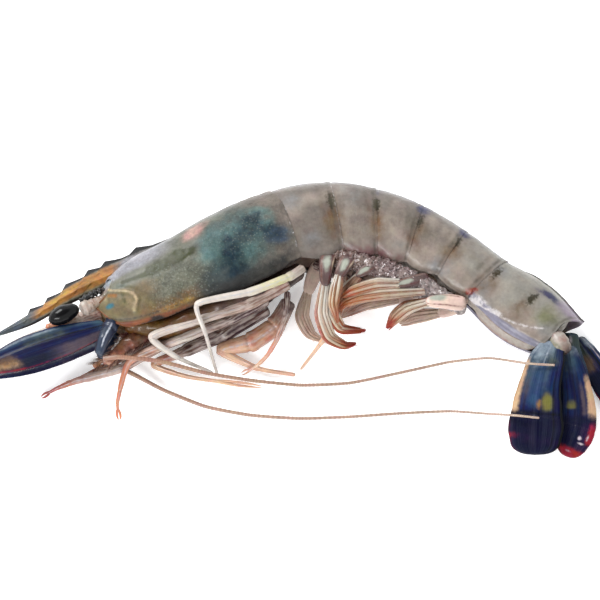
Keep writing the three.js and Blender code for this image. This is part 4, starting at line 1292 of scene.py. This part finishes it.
def swimmeret_blade(name, route, k):
    """A swimmeret's blade, and the pale and rusty strands that lie side by side on it."""
    number = int(name[-1])
    left = name.startswith("left")
    far = not left
    tip_red = 0 if far else 0.95 if number in (1, 5) else 0.3
    shapes = [limb(route, BLADE["half"], BLADE["thick"], sides=16, steps=70, ends=(1, 3), relief=rimmed,
                   orange=[0.2, 0.5, 0.9, 1] if left and number in (1, 4) else [0.1, 0.2, 0.4, 0.6],
                   red=[0, 0, 0.2, tip_red], maroon=[0.1, 0, 0, 0] if far else [0.5, 0.4, 0.3, 0.1],
                   mauve=[0.2 * left, 0.1 * left, 0, 0], pink=[far, far, far, 0.8 * far])]
    even = np.linspace(0, 1, STRAND_PLACES)
    place, along, across, up = frames(route, even)
    wide = spline(BLADE["half"], even, held=True)
    draw = np.random.default_rng(STRAND_SEED + 10 * number + k)
    for strand, (aside, rise) in enumerate(STRANDS):
        aside = aside + draw.uniform(-0.15, 0.15)
        sway = 0.25 * np.sin(draw.uniform(2, 5) * even + draw.uniform(0, 6))[:, None]
        own = place + across * (aside * wide * 0.75 + sway) + up * rise * 0.8
        own = own[: STRAND_PLACES - (strand * 5 + k) % 4]
        light = np.clip(PALENESS[number - 1][strand] + draw.uniform(-0.1, 0.1), 0, 1)
        dim = 1 - light
        flame = number == 1 and left and strand == 0
        shapes.append(limb(own, STRAND["half"], STRAND["thick"], sides=10, steps=60,
                           ends=(0.5, 1.6), cream=[light, light, 0.8 * light, 0.2],
                           white=[0.8 * light * left, 0.6 * light * left, 0.2 * light, 0],
                           orange=[0.6, 1, 1, 1] if flame else [0.1, 0.4 * dim, 0.5, 0.8],
                           red=[0.2, 0.6, 0.8, 1] if flame else [0.1, 0, 0.2, tip_red],
                           maroon=[0.1, 0, 0, 0] if far else [0.6 * dim, 0.5 * dim, 0.3 * dim, 0],
                           pink=[0.5 * far] * 4, mauve=[0.3 * dim, 0.2 * dim, 0, 0]))
    return joined(*shapes)


hairs = []
for name, (stem, blades) in SWIMMERETS.items():
    shapes = [swimmeret_stem(name, stem)]
    for k, route in enumerate(blades):
        shapes.append(swimmeret_blade(name, route, k))
        seed = SWIMMERET_HAIR_SEED + len(hairs)
        hairs.append(fringe(route, BLADE["half"], 0.9, 70, seed, 0.035, red=0.6 * (k == 0)))
    piece(name + "_limb", joined(*shapes), "swimmeret", [name])
piece("swimmeret_hairs", joined(*hairs), "setae")

# ---- Walking legs and what lies between them -----------------------------------------------------

CLAWED = ("leg_1", "leg_2", "leg_3")  # the first three pairs end in a small pincer
VEINED = {"left_leg_5": 0.0, "right_leg_4": 0.2}  # how strongly the darker lines show on a thigh
OTHERS_VEINED = 0.45
JAW_HAIR_SEED = 300

# How each leg is coloured from hip to tip.
LEG_TINTS = {
    "left_leg_5": {"cream": [0.5, 0.7, 0.9, 1, 1, 1], "yellow": [0, 0, 0.7, 0.3, 0, 0, 0, 0, 0]},
    "left_leg_4": {"cream": [0, 0.1, 0.6, 0.7, 1, 1], "mauve": [0.8, 0.6, 0.1, 0.1, 0, 0]},
    "left_leg_3": {"cream": [0.1, 0.1, 0.6, 0.3, 0, 0], "orange": [0.1, 0.1, 0.1, 0.5, 1, 1],
                   "mauve": [0.8, 0.5, 0.1, 0.1, 0, 0], "shadow": [1, 0.9, 0, 0, 0, 0]},
    "left_leg_2": {"orange": [0.1, 0.2, 0.6, 0.8, 0.6, 0.5], "peach": [0, 0, 0.1, 0.3, 0.5, 0.5],
                   "shadow": [1, 0.7, 0.2, 0, 0, 0]},
    "left_leg_1": {"cream": [0.1, 0.2, 0.3, 0.4, 0, 0], "mauve": [0.7, 0.5, 0.5, 0.3, 0, 0],
                   "red": [0, 0, 0, 0.3, 0.9, 1]},
    "right_leg_5": {"peach": [0, 0.1, 0.4, 0.8, 1, 1], "orange": [0.1, 0.2, 0.6, 0.5, 0.4, 0.5],
                    "shadow": [1, 0.8, 0.3, 0, 0, 0]},
    "right_leg_4": {"orange": [0.1, 0.5, 0.8, 0.6, 0.3, 0.2], "peach": [0, 0.1, 0.4, 0.6, 0.9, 1],
                    "shadow": [0.8, 0.1, 0, 0, 0, 0]},
    "right_leg_3": {"orange": [0.1, 0.3, 0.4, 0.6, 0.5, 0.4], "peach": [0, 0, 0, 0.2, 0.9, 1],
                    "shadow": [1, 1, 0.7, 0.1, 0, 0]},
    "right_leg_2": {"orange": [0.1, 0.3, 0.4, 0.5, 0.7], "mauve": [0.8, 0.6, 0.3, 0.1, 0]},
    "right_leg_1": {"orange": [0.1, 0.2, 0.3, 0.5, 0.6], "mauve": [0.8, 0.6, 0.4, 0.2, 0]},
}


def stretch(route, start, end, count=8):
    """A part of a route, as a route of its own."""
    return spline(route, np.linspace(start, end, count), pull=LIMB_PULL)


def leg(name, route):
    """A leg with knuckles at its joints, and a pincer at its tip if its pair has one."""
    half = np.array(OWN_HALF.get(name, LEG_HALF[-len(route):]))
    joints = [k / (len(route) - 1) for k in range(1, len(route) - 1)]
    tints = LEG_TINTS[name]
    clawed = name.endswith(CLAWED)
    palm = 0.9 if clawed else 1.0

    def knuckles(t):
        pinch = sum(bell(t, joint + 0.022, 0.008) for joint in joints)
        swell = sum(bell(t, joint - 0.01, 0.03) for joint in joints)
        return 1 + 0.1 * swell - 0.12 * pinch

    def ridged(t, side, top):
        return 0.05 * np.cos(6 * np.arctan2(side, top)) * half.max()

    # Dark creases at the joints and veins along the thigh, with painted shade on the underside and a painted
    # highlight (shine) along the upper side.
    def creases_veins_shade_and_shine(t, side, top):
        creases = sum(bell(t, joint + 0.022, 0.006) for joint in joints)
        thigh = ramp(t, joints[-2] + 0.02, joints[-2] - 0.2)
        return {"dark": 0.3 * creases + 0.5 * ramp(top, -0.1, -0.7),
                "shine": 0.55 * bell(side, 0.3, 0.16) * ramp(top, 0, 0.6) * ramp(t, 0.1, 0.3),
                "veined": 0.1 + VEINED.get(name, OTHERS_VEINED) * thigh}

    shaft = limb(stretch(route, 0, palm, 26), half, half * LEG_DEPTH, sides=20, steps=130,
                 ends=(1.2, 0.5 if clawed else 1.0), shape=knuckles, relief=ridged, paint=creases_veins_shade_and_shine, **tints)
    if not clawed:
        return shaft
    tip_tints = {tone: [values[-1]] * 2 for tone, values in tints.items()}
    return joined(shaft, *pincer(route, palm, half[-1], tip_tints))


def pincer(route, palm, half, tints):
    """The two fingers of a small pincer, from the palm to the tip of a leg."""
    place, along, across, up = frames(route, np.linspace(palm - 0.02, 1, 9))
    spread = np.sin(math.pi * np.linspace(0, 1, 9))[:, None] * 0.3 + 0.18
    return [limb(place + across * way * spread, [half * 0.8, half * 0.8, 0.1], [half * 0.8, half * 0.6, 0.1],
                 sides=8, steps=24, ends=(0.3, 0.6), **tints) for way in (-1, 1)]


for name, route in LEGS.items():
    piece(name + "_limb", leg(name, route), "leg", [name])


def uneven_skin(t, side, top):
    """Small swellings all over a soft limb."""
    return 0.3 * wander(points_of(t * 22, side * 1.6, top * 1.6), 0.9, 31)


for name, (route, half, thick) in JAW_FEET.items():
    foot = limb(route, half, thick, sides=18, steps=80, relief=uneven_skin, brown=[1, 1, 1, 0.6],
                orange=[0.1, 0.2, 0.3, 0.5], shadow=[0.3, 0.2, 0.1, 0.1], veined=[0.05, 0.05])
    piece(name + "_limb", foot, "leg", [name])
    brush = [fringe(route, half, 2.2, 130, JAW_HAIR_SEED + k + len(name), maroon=0.9 * (k < 2),
                    pale=0.1 * (k == 2)) for k in range(3)]
    piece(name + "_hairs", joined(*brush), "setae")


def sockets(t, side, top):
    """Bulges where the legs leave the underside."""
    row = 0.5 + 0.5 * np.cos(2 * math.pi * t * 5.5)
    return 0.5 * row * np.abs(top) + 0.35 * wander(points_of(t * 50, side * 4, top * 5), 1.8, 41)


# The underside grows darker towards its rear: painted shade in the hollow between the legs.
underside = limb(UNDERSIDE, [2.4, 3, 3.2, 3.2, 2], [3.2, 4.2, 4.6, 4.8, 3.6], sides=40, steps=120,
                 ends=(3, 3), relief=sockets, brown=[0.9, 0.8, 0.4, 0.1, 0.1], dark=[0, 0.2, 0.5, 0.8, 0.8])
piece("leg_sockets", underside, "flesh", ["thorax_underside"])

# ---- Eyes, antennae and their scales -------------------------------------------------------------

LEDGE_RISE = 4.0  # how far from the head's middle plane the beaded edge over an eye starts
SCALE_HAIR_SEED = 500


def eyeball(centre):
    """A kidney-shaped cornea, flatter where it joins its stalk."""
    x, y, z = np.moveaxis(unit_ball(34, 48), -1, 0)
    dent = 1 - 0.1 * bell(x, 0.45, 0.25) * ramp(y, -0.2, 0.6)
    cornea = points_of(x, y * dent, z * dent) * EYE_HALF
    cornea[..., 1] -= 0.25 * x**2 * ramp(x, 0, 1)
    return tube(turned(cornea, EYE_TURN) + centre, along=(x + 1) / 2)


def eyestalk(side, route):
    """The stalk with its dark beaded upper edge."""
    stalk = limb(route, [1.5, 1.8, 2.2], [1.4, 1.6, 2.0], sides=20, steps=50, ends=(1, 1.6),
                 relief=uneven_skin, pale=[0.9, 1, 0.8], orange=[0.3, 0.4, 0.2])
    rise = LEDGE_RISE if side == "left" else -LEDGE_RISE
    ledge = [[-54.6, 2.2, PLANE + rise], [-57.6, 0.6, PLANE + rise * 1.1], [-61.4, -2, PLANE + rise * 1.25]]

    def beads(t, s, top):
        return 0.22 * np.sin(t * 34)

    band = limb(ledge, [0.6, 0.95, 0.9], [0.6, 0.8, 0.7], sides=16, steps=70, ends=(0.8, 0.8), relief=beads,
                black=[0.8, 1, 1])
    return joined(stalk, band)


def scale_ribs(t, side, top):
    """The two long ribs of an antenna's scale, with a hollow between them."""
    ribs_across = 0.4 * bell(side, -0.72, 0.1) + 0.3 * bell(side, -0.2, 0.08) - 0.15 * bell(side, -0.45, 0.12)
    return ribs_across * ramp(t, 0, 0.1) * ramp(t, 1, 0.85)


def scale_colours(t, s, top):
    tip = ramp(t + 0.06 * s, 0.72, 0.82)
    return {
        "slate": 0.8 * bell(s, -0.78, 0.16) * ramp(t, 1, 0.8) + 0.5 * ramp(t, 0.16, 0.03),
        "green": 0.6 * patch(t, s, (-0.5, 0.5), (0.3, 0.2)),
        "mist": 0.6 * bell(s, -0.8, 0.1) * ramp(t, 0.3, 0.5) * ramp(t, 0.9, 0.8),
        "deep": 0.9 * ramp(s, 0.15, 0.4) * ramp(t, 0.35, 0.6) * ramp(s, 0.95, 0.8),
        "grey": 0.8 * ramp(s, 0.05, 0.4) * ramp(t, 0.65, 0.35),
        "purple": 0.6 * ramp(s, -0.7, -0.95) * ramp(t, 0.6, 0.8),
        "red": 0.4 * bell(s, 0.9, 0.05) + 0.3 * tip * ramp(s, 0.5, 0.9),
        "cream": 0.5 * tip * bell(s, 0.5, 0.3),
        "gold": 0.5 * tip * bell(s, 0.4, 0.3),
        "brown": 0.8 * tip * bell(s, 0.1, 0.5),
        "rust": 0.7 * ramp(t, 0.9, 1),
        "line": 0.8 * bell(s, -0.3, 0.07) * ramp(t, 0.9, 0.7) + 0.6 * bell(s, 0.98, 0.05),
    }


# Painted shadow: the right scale, which lies under the left one, is coloured grey-lilac down its middle to
# look like shade on the table.
def under_scale_shadow_colours(t, s, top):
    return {"mist": 0.7 * bell(s, 0.5, 0.2), "grey": 0.4 * bell(t, 0.3, 0.4)}


# under is painted shade on the whip's underside, and shine a painted highlight on its top near the root.
def whip_colours(t, side, top):
    shine = bell(side, 0, 0.5) * ramp(top, 0, 0.8) * ramp(t, 0.12, 0.02)
    return {"under": 0.7 * ramp(top, 0.1, -0.6), "pale": 0.6 * shine + 0.2 * ramp(t, 0.5, 1),
            "red": 0.3 * ramp(t, 0.97, 1)}


def antenna(route):
    """A whip of narrow rings that taper to its tip."""
    length = np.linalg.norm(np.diff(stretch(route, 0, 1, 200), axis=0), axis=1).sum()

    def beaded(t):
        return 1 + 0.05 * np.sin(2 * math.pi * t * length / RING_SPACING)

    return limb(route, ANTENNA_HALF, ANTENNA_HALF, sides=10, steps=900, ends=(0.8, 0.6), shape=beaded,
                paint=whip_colours)


def joint_rings(t, s, top):
    """A ring round an antenna's joint beside a groove, and a ridge along it."""
    return 0.2 * bell(t, 0.35, 0.05) - 0.25 * bell(t, 0.42, 0.04) + 0.15 * bell(s, 0.4, 0.2)


# dark runs down one side and, as painted shade, over the underside; shine is a painted highlight along the
# top.
def joint_colours(t, s, top):
    streak = bell(s, 0.1 + 0.2 * t, 0.13) * ramp(top, 0, 0.5)
    return {
        "blue": 1.0,
        "dark": 0.5 * ramp(s, -0.5, -0.9) + 0.3 * ramp(top, 0, -0.6),
        "red": 0.55 * ramp(s, 0.45, 0.8) * ramp(t, 0.9, 0.6) * ramp(t, 0.2, 0.4),
        "shine": 0.9 * streak * ramp(t, 0.3, 0.45) * ramp(t, 0.88, 0.78),
        "cream": 0.4 * ramp(t, 0.9, 0.97) + 0.5 * ramp(t, 0.2, 0.05),
    }


def antenna_joint(route):
    """The stout joint that carries an antenna, its root tucked down into the head."""
    tucked = np.array(route) - [[0, 0, 2.2], [0, 0, 0.9], [0, 0, 0], [0, 0, 0]]
    return limb(tucked, [2.1, 2.1, 1.7, 1.3], [2, 2.1, 1.7, 1.3], sides=28, steps=80, relief=joint_rings,
                paint=joint_colours)


def antennule(route, whip):
    """A short feeler: a stout stem that ends in two thin lashes."""
    shapes = [limb(route, [1.6, 1.7, 1.2], [1, 1.1, 0.9], sides=16, steps=60, relief=uneven_skin,
                   cream=[0.3, 0.4, 0.3], orange=[0.3, 0.2, 0.8], brown=[0.2, 0.1, 0.5])]
    for aside, drop in ((-0.5, 0.2), (0.5, -0.2)):
        line = np.array(whip) + [[0, aside * 0.4, drop], [0, aside, drop], [0.4, aside * 1.4, drop]]
        shapes.append(limb(line, [0.5, 0.4, 0.2], [0.5, 0.4, 0.2], sides=10, steps=160, ends=(0.5, 0.4),
                           cream=[1, 1, 0.8], mauve=[0.2, 0.1, 0.1]))
    return joined(*shapes)


for side, part in HEAD.items():
    piece(f"{side}_eye_ball", eyeball(part["eye"]), "eye", [f"{side}_eye"])
    piece(f"{side}_eye_stalk", eyestalk(side, part["eyestalk"]), "flesh", [f"{side}_eyestalk"])
    piece(f"{side}_antenna_joint", antenna_joint(part["antenna_base"]), "leg", [f"{side}_antenna_base"])
    # The right scale gets painted shadow colours.
    colours = scale_colours if side == "left" else under_scale_shadow_colours
    blade = limb(part["scale"], SCALE_HALF, [BLADE_THICK] * 3, part["scale_lean"], sides=60, steps=110,
                 ends=(2, 3.5), relief=scale_ribs, paint=colours)
    piece(f"{side}_antenna_blade", blade, "fan", [f"{side}_antenna_scale"])
    edge = fringe(part["scale"], SCALE_HALF, 0.9, 200, SCALE_HAIR_SEED + len(side), 0.04,
                  part["scale_lean"], red=0.5, pale=0.2)
    piece(f"{side}_antenna_blade_hairs", edge, "setae")
    feeler = antennule(part["antennule"], part["whip"])
    piece(f"{side}_antennule_lashes", feeler, "leg", [f"{side}_antennule"])

for name, route in ANTENNAE.items():
    piece(name + "_whip", antenna(route), "antenna", [name])

# ---- Tail fan ------------------------------------------------------------------------------------


def fan_base(centre):
    """The lumpy knob that carries the blades of one side."""
    ball = unit_ball(28, 40)
    x, y, z = np.moveaxis(ball, -1, 0)
    swell = 0.07 * wander(ball * 2, 1.0, 51) + 0.05 * wander(ball * 5, 1.0, 52) - 0.1 * bell(x, 0.45, 0.08)
    knob = turned(ball * FAN_BASE_HALF * (1 + swell[..., None]), FAN_BASE_TURN)
    return tube(laid(knob + centre), pale=bell(x, -0.1, 0.6), rose=0.7 * blot(ball, (0.1, 0.3), (0.35, 0.5)),
                green=0.7 * ramp(y, -0.2, -0.7), dark=0.7 * ramp(x, 0.55, 0.95))


def fan_ribs(t, side, top):
    """A blade's middle rib, its thick rims, and the cross fold near its tip."""
    middle = 0.22 * bell(side, 0, 0.07) - 0.08 * bell(np.abs(side), 0.16, 0.07)
    rims = 0.12 * bell(np.abs(side), 0.8, 0.08)
    fold = -0.12 * bell(t, 0.7 + 0.04 * side, 0.012)
    return (middle + rims) * ramp(t, 0, 0.15) * ramp(t, 1, 0.9) + fold


def left_outer_colours(t, s, top):
    return {
        "slate": np.clip(ramp(t, 0.68, 0.3) * ramp(s, 0.6, 0.1), 0, 0.9),
        "steel": 0.9 * bell(s, -0.15, 0.35) * ramp(t, 0.2, 0.35) * ramp(t, 0.7, 0.6),
        "mist": 0.7 * ramp(t, 0.26, 0.1) * ramp(s, 0.6, 0.1) + 0.4 * patch(t, s, (-0.5, 0.25), (0.3, 0.1)),
        "grey": 0.5 * bell(s, -0.6, 0.2) * bell(t, 0.5, 0.15),
        "green": 0.7 * bell(s, 0.3, 0.4) * bell(t, 0.2, 0.1),
        "cream": ramp(s - 0.14 * t, -0.72, -0.96) * ramp(t, 0.2, 0.3) * ramp(t, 0.72, 0.64),
        "spot": patch(t, s, (0.41, 0.6), (0.24, 0.09)),
        "gold": 0.9 * patch(t, s, (0.08, 0.625), (0.1, 0.035))
        + 0.5 * ramp(s, -0.9, -0.97) * bell(t, 0.5, 0.2),
        "night": ramp(t, 0.64, 0.7),
        "purple": 0.4 * bell(t, 0.9 + 0.03 * s, 0.035) + 0.5 * ramp(s, -0.7, -0.95) * ramp(t, 0.7, 0.8),
        "red": 0.35 * patch(t, s, (-0.85, 0.87), (0.25, 0.03))
        + 0.3 * ramp(s, -0.88, -0.97) * ramp(t, 0.72, 0.8),
        "line": ramp(s, 0.86, 0.96) + 0.7 * bell(s, 0.66, 0.05) * ramp(t, 0.2, 0.4)
        + 0.5 * bell(t, 0.69, 0.008),
    }


def left_inner_colours(t, s, top):
    red_side = ramp(s, 0.5, 0.8) * ramp(t, 0.64, 0.74) * ramp(t, 0.9, 0.82)
    return {
        "slate": 0.8 * ramp(t, 0.42, 0.1) * bell(s, 0.1, 0.5),
        "mist": 0.5 * ramp(t, 0.14, 0.04),
        "green": 0.5 * bell(s, -0.5, 0.2) * ramp(t, 0.4, 0.2),
        "spot": 0.7 * patch(t, s, (-0.35, 0.53), (0.3, 0.05)),
        "night": 0.8 * ramp(t, 0.6, 0.66),
        "grey": 0.9 * bell(s, 0.36, 0.14) * ramp(t, 0.3, 0.42) * ramp(t, 0.66, 0.6),
        "cream": ramp(s + 0.3 * (t - 0.5), 0.44, 0.74) * ramp(t, 0.26, 0.4) * ramp(t, 0.68, 0.58),
        "purple": ramp(s, 0.0, 0.5) * ramp(t, 0.62, 0.76),
        "red": 0.9 * np.clip(red_side + ramp(t, 0.9, 0.95), 0, 1),
        # Painted glints: small pale patches near the tip.
        "pale": 0.9 * patch(t, s, (0.3, 0.82), (0.12, 0.02)) + 0.8 * patch(t, s, (0.5, 0.87), (0.2, 0.012))
        + 0.6 * patch(t, s, (0.7, 0.8), (0.06, 0.03)) + 0.5 * patch(t, s, (-0.1, 0.95), (0.3, 0.008)),
        "line": 0.8 * bell(s, -0.05, 0.05) * ramp(t, 0.7, 0.5) + 0.7 * bell(s, -0.85, 0.1),
    }


def right_inner_colours(t, s, top):
    return {
        "slate": 0.7 * ramp(t, 0.4, 0.1),
        "night": ramp(t, 0.5, 0.7),
        "cream": ramp(s, 0.6, 0.85) * ramp(t, 0.3, 0.45) * ramp(t, 0.8, 0.65),
        "red": np.clip(ramp(s, 0.8, 0.95) * ramp(t, 0.6, 0.75) + ramp(t, 0.86, 0.95), 0, 1),
    }


def right_outer_colours(t, s, top):
    return {
        "mist": 0.7 * ramp(t, 0.3, 0.1) * ramp(s, 0.2, 0.6),
        "green": ramp(t, 0.4, 0.15) * ramp(s, 0.4, -0.2),
        "brown": 0.9 * patch(t, s, (-0.4, 0.3), (0.6, 0.1)),
        "night": 0.9 * ramp(t, 0.36, 0.44) * ramp(s, 0.5, 0.2),
        "line": bell(s, 0.4, 0.1) * ramp(t, 0.05, 0.2),
        "red": 0.6 * ramp(s, -0.85, -0.97) * ramp(t, 0.5, 0.7),
        "pale": 0.6 * bell(s, 0.7, 0.06) * ramp(t, 0.5, 0.3),
        "slate": 0.7 * ramp(s, -0.7, -0.9),
    }


def telson_colours(t, s, top):
    return {
        "slate": ramp(t, 0.5, 0.1),
        "green": 0.8 * bell(t, 0.12, 0.12),
        "night": ramp(t, 0.4, 0.7),
        "line": bell(s, 0, 0.08),
        "red": 0.5 * ramp(t, 0.93, 1),
        "pale": 0.6 * patch(t, s, (0.3, 0.1), (0.15, 0.04)),
    }


def telson_groove(t, side, top):
    """A groove down the middle between two ridges."""
    return (0.5 * bell(np.abs(side), 0.3, 0.12) - 0.35 * bell(side, 0, 0.12)) * ramp(t, 1, 0.8)


FAN_COLOURS = {
    "left_outer_fan": left_outer_colours, "left_inner_fan": left_inner_colours,
    "right_inner_fan": right_inner_colours, "right_outer_fan": right_outer_colours,
}
for name, centre in FAN_BASES.items():
    piece(name + "_joint", fan_base(centre), "flesh", [name])
for name, (route, half, lean) in PADDLES.items():
    route = stretch(route, 0, 0.985)
    blade = limb(route, half, [BLADE_THICK] * 3, lean, sides=72, steps=120, ends=(1.5, 2.4), relief=fan_ribs,
                 paint=FAN_COLOURS[name])
    piece(name + "_paddle", blade, "fan", [name])
spike = limb(*TELSON, [BLADE_THICK] * 3, sides=60, steps=90, ends=(2, 1), relief=telson_groove,
             paint=telson_colours)
piece("telson_spike", spike, "fan", ["telson"])

# ---- Table, light and camera ---------------------------------------------------------------------

TARGET = (np.array([0, 0, 11]) - CENTRE) * MM  # the point on the prawn that the camera looks at
CAMERA_ELEVATION = math.radians(70)
CAMERA_DISTANCE = 1.2
VIEW_WIDTH = 0.168  # metres of table across the camera's view
SENSOR = 36.0
TENT_WALL = 0.75 * EXPOSURE  # brightness of the tent's walls, and of the opening in its top
TENT_OPENING = 0.12 * EXPOSURE
OPENING_EDGE = (0.72, 0.9)  # how high in the sky, from 0 to 1, the walls start to dim and where they end
TABLE_GLOW = 0.35  # the table is a light box, which keeps the shadows on it faint


def table_top():
    """A plain white table that glows faintly from below."""
    material = bpy.data.materials.new("white_table")
    material.use_nodes = True
    tree = material.node_tree
    shade = tint(tree, noise(tree, 60.0, 2.0), (0.93, 0.93, 0.935, 1), (0.97, 0.97, 0.97, 1))
    shader = tree.nodes["Principled BSDF"]
    tree.links.new(shade, shader.inputs["Base Color"])
    shader.inputs["Roughness"].default_value = 0.6
    shader.inputs["Specular IOR Level"].default_value = 0.2
    shader.inputs["Emission Color"].default_value = (1.0, 1.0, 1.0, 1.0)
    shader.inputs["Emission Strength"].default_value = TABLE_GLOW
    bpy.ops.mesh.primitive_grid_add(x_subdivisions=4, y_subdivisions=4, size=3.0)
    table = bpy.context.object
    table.name = "table_top"
    table.data.materials.append(material)


def lamp(name, place, size, power):
    """An oblong lamp that shines on the prawn."""
    light = bpy.data.lights.new(name, "AREA")
    light.shape = "RECTANGLE"
    light.size, light.size_y = size
    light.energy = power
    lit = bpy.data.objects.new(name, light)
    lit.location = place
    lit.rotation_euler = facing(place - TARGET)
    bpy.context.scene.collection.objects.link(lit)


def facing(away):
    """The turn that makes a lamp's own -Z point against a direction."""
    flat = math.hypot(away[0], away[1])
    return (math.atan2(flat, away[2]), 0, math.atan2(away[1], away[0]) + math.pi / 2)


def camera():
    """The camera, looking down on the prawn from the side of its legs."""
    lens = bpy.data.cameras.new("camera")
    lens.sensor_width = SENSOR
    lens.lens = SENSOR * CAMERA_DISTANCE / VIEW_WIDTH
    eye = bpy.data.objects.new("camera", lens)
    back = np.array([0, -math.cos(CAMERA_ELEVATION), math.sin(CAMERA_ELEVATION)])
    eye.location = TARGET + back * CAMERA_DISTANCE
    eye.rotation_euler = (math.pi / 2 - CAMERA_ELEVATION, 0, 0)
    bpy.context.scene.collection.objects.link(eye)
    bpy.context.scene.camera = eye


def tent():
    """The white tent round the table: bright walls, and a dim opening overhead for the camera."""
    world = bpy.data.worlds.new("white_tent")
    world.use_nodes = True
    tree = world.node_tree
    direction = put(tree, "ShaderNodeTexCoord").outputs["Generated"]
    height = put(tree, "ShaderNodeSeparateXYZ", {0: direction}).outputs[2]
    inputs = {0: height, 1: OPENING_EDGE[0], 2: OPENING_EDGE[1], 3: TENT_WALL, 4: TENT_OPENING}
    wall = put(tree, "ShaderNodeMapRange", inputs, interpolation_type="SMOOTHSTEP").outputs[0]
    background = tree.nodes["Background"]
    background.inputs["Color"].default_value = (0.98, 0.99, 1.0, 1.0)
    tree.links.new(wall, background.inputs["Strength"])
    bpy.context.scene.world = world


table_top()
lamp("window", (-0.5, 0.5, 0.7), (0.45, 0.45), 6.0 * EXPOSURE)
lamp("strip", (-0.3, -0.6, 0.5), (0.5, 0.2), 2.5 * EXPOSURE)
tent()
camera()
bpy.context.scene.view_settings.view_transform = "Standard"
